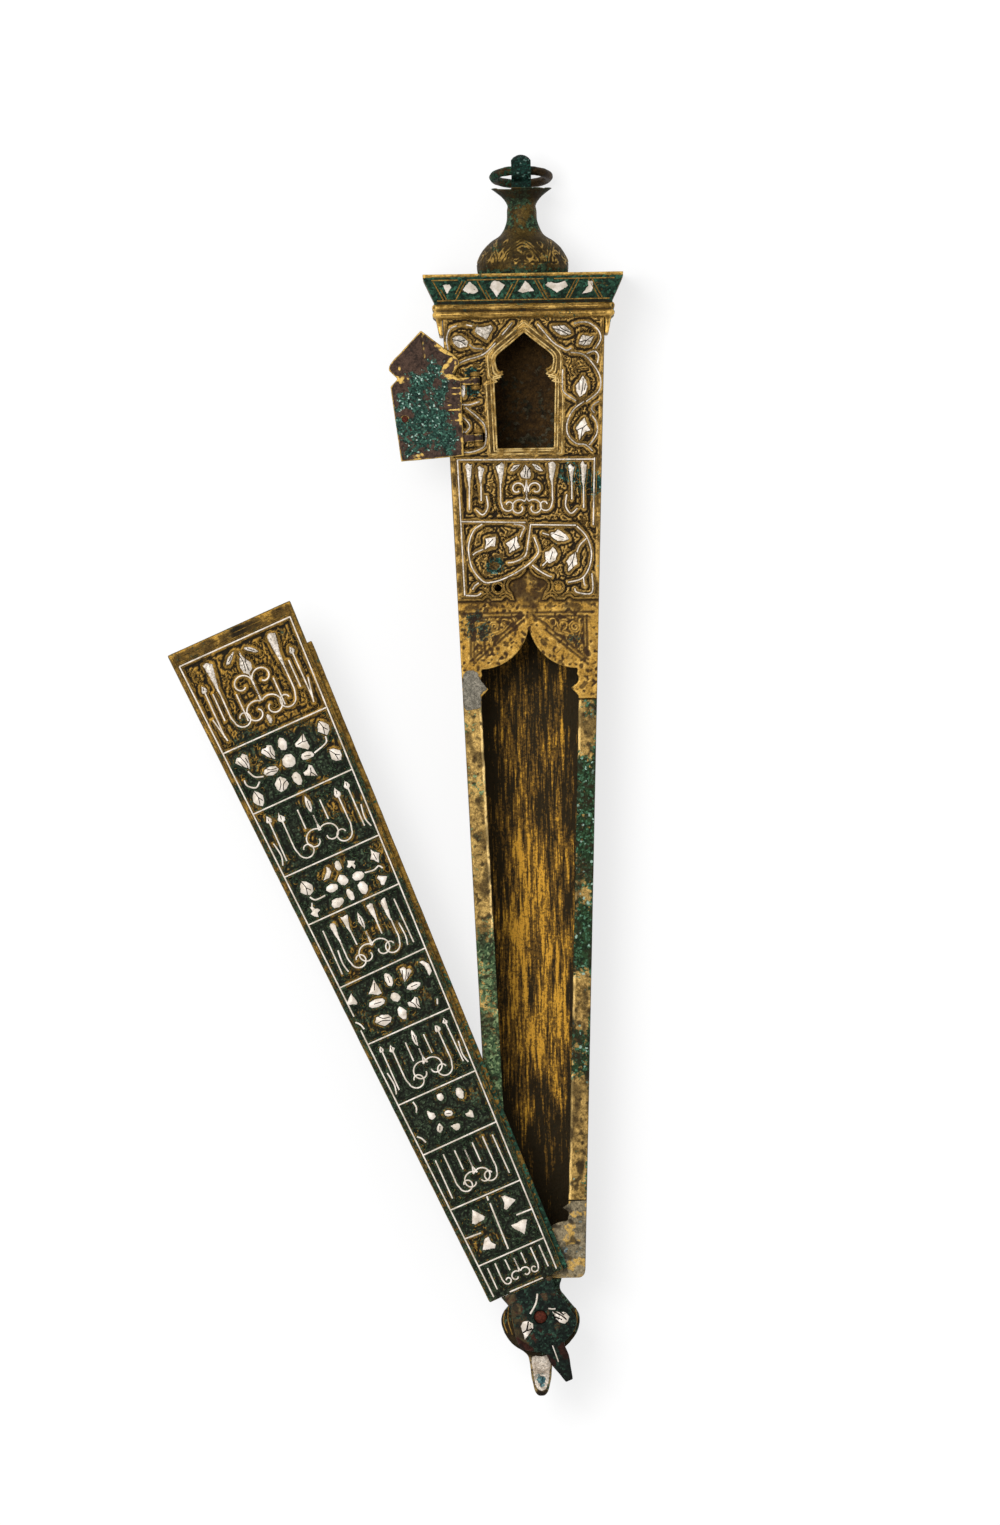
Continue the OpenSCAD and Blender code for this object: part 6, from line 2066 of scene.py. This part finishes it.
def makeHeads():
    look = birdLook
    mesh = castWorn("tail_bird_head", "lowerBirdHead", look["voxel"], 14, 4.0, 4, (2.2, 0.12, 95))
    co = pointsOf(mesh)
    x, r = co[:, 0], co[:, 1] - pivotY
    brand(mesh, "verdigris", np.clip(0.2 + 0.35 * cloud(co, 3, 96) + 0.5 * (x > 3) * (r > 3), 0, 1))
    rim = (1 - ramp(np.abs(r + 13), 3.5, 5.5)) * 0.45
    brand(mesh, "ridge", np.clip(rim + 0.25 * ramp(cloud(co, 2.4, 97), 0.2, 0.7) * (x < -3), 0, 1))
    dark = 1 - ramp(r, -17.6, -16.4)
    brand(mesh, "grimeAndShade", np.clip(dark, 0, 0.9))
    seat("lowerBirdHead", mesh, "beakBronze", "box", "bronze", "tail_bird_head")
    heightAt = dropOnto(mesh)
    lines = []
    for feather in look["feathers"]:
        line = curveThrough(feather, 0.25)
        heights = [heightAt(q[0], pivotY + q[1]) for q in line]
        lines.append([atPivot(q[0], q[1], z) for q, z in zip(line, heights) if z is not None])
    lines = [line for line in lines if len(line) > 3]
    seatWire("cheekFeathers", lines, "rubbedRidgeAndSheen", (0.34, 0.1, 0.35, 14.0), "box", "bronze")

    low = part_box("lower_beak_inlay")[0]
    dice = random.Random(101)
    line = curveThrough(look["beakSheet"], 0.2, closed=True)
    outline = [(p + dice.gauss(0, 0.04), pivotY + q + dice.gauss(0, 0.04)) for p, q in line]
    mesh = sheetPieces("lowerBeakSheet", [outline], onBox, lambda px, py: heightAt(px, py) or low.z / mm, 0.1)
    shell = bmesh.new()
    shell.from_mesh(mesh)
    bmesh.ops.subdivide_edges(shell, edges=[e for e in shell.edges if e.calc_length() > 0.7 * mm], cuts=3)
    bmesh.ops.triangulate(shell, faces=shell.faces)
    shell.to_mesh(mesh)
    shell.free()
    co = pointsOf(mesh)
    spot = blot(co[:, 0] * 1.5, co[:, 1] - pivotY + 14.5, 0.4, 2.6)
    brand(mesh, "verdigris", np.clip(0.8 * spot, 0, 1))
    seat("lowerBeakSheet", mesh, "beakSheet", "box", "silver", "lower_beak_inlay")

    mesh = castWorn("lid_bird_head", "upperBirdHead", look["voxel"], 10, 4.0, 4, (2.0, 0.08, 98),
                    turn=lidToWorld.inverted())
    co = pointsOf(mesh)
    rust = 1 - ramp(nearPaths(co[:, :2], look["rust"]), 0.7, 2.0)
    olive = (1 - ramp(co[:, 0], -4.6, -1.4)) * ramp(co[:, 1], -7, -4) * (0.75 + 0.5 * cloud(co, 1.6, 100))
    olive = np.maximum(olive, 0.7 * ramp(cloud(co, 3.4, 104), 0.2, 0.6) * ramp(co[:, 1], -6, -3))
    brand(mesh, "verdigris", np.clip(1.0 - 0.95 * rust - 0.8 * olive + 0.3 * cloud(co, 2.2, 99), 0, 1))
    dark = 0.6 * (1 - ramp(co[:, 1], -15.6, -13.8)) + 0.4 * (1 - ramp(co[:, 1], -10, -7))
    dark += 0.6 * ramp(cloud(co, 1.5, 103), 0.15, 0.5)
    brand(mesh, "grimeAndShade", np.clip(dark, 0, 0.9))
    brand(mesh, "ridge", np.clip(olive - rust, 0, 1))
    topOf = dropOnto(mesh)
    onHead = lambda px, py: topOf(px, py) or lidTop
    eyes = [cutOutline("drop", *eye[:5], dice, 0.08) for eye in look["eyes"]]
    sheets = sheetPieces("eyeSheets", eyes, onLid, onHead, 0.1)
    threads = []
    for name, width in (("neckStroke", 0.44), ("browStroke", 0.34), ("billLine", 0.28)):
        stroke = lifted([curveThrough(look[name], 0.2)], onLid, onHead, 0.06)
        threads.append(hammerWire(name, stroke, "wornSilver", width, 0.09, 0.35, 15.0))
    veins = [cut for eye in look["eyes"] for cut in cutVeins(eye[5], *eye[:5])]
    sheetTop = dropOnto(sheets)
    onSheet = lambda px, py: sheetTop(*(onLid(px, py, 0) / mm)[:2]) or onHead(px, py)
    cuts = hammerWire("eyeVeins", lifted(veins, onLid, onSheet, 0.02), "darkVein", 0.36, 0.06, 0.3, 16.0)
    mesh.transform(lidToWorld)
    seat("upperBirdHead", mesh, "headBronze", "lid", "green_bronze", "lid_bird_head")
    seat("lidSilverEyes", joinMeshes("lidSilverEyes", [sheets] + threads), "wornSilver", "lid", "silver",
         "lid_eye_inlay")
    seat("eyeVeins", cuts, "darkVein", "lid", "dark_bronze")

    mesh = castWorn("pivot_rivet", "pivotRivetIron", 0.12, 3, 3.0, 2, (1.0, 0.08, 102))
    seat("pivotRivetIron", mesh, "rustIron", "box", "iron", "pivot_rivet")


makeHeads()
print("bird heads made")

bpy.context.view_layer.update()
print("pieces:", len(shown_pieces()), "largest, in triangles:",
      sorted((sum(len(f.vertices) - 2 for f in p.data.polygons), p.name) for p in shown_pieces())[-8:])
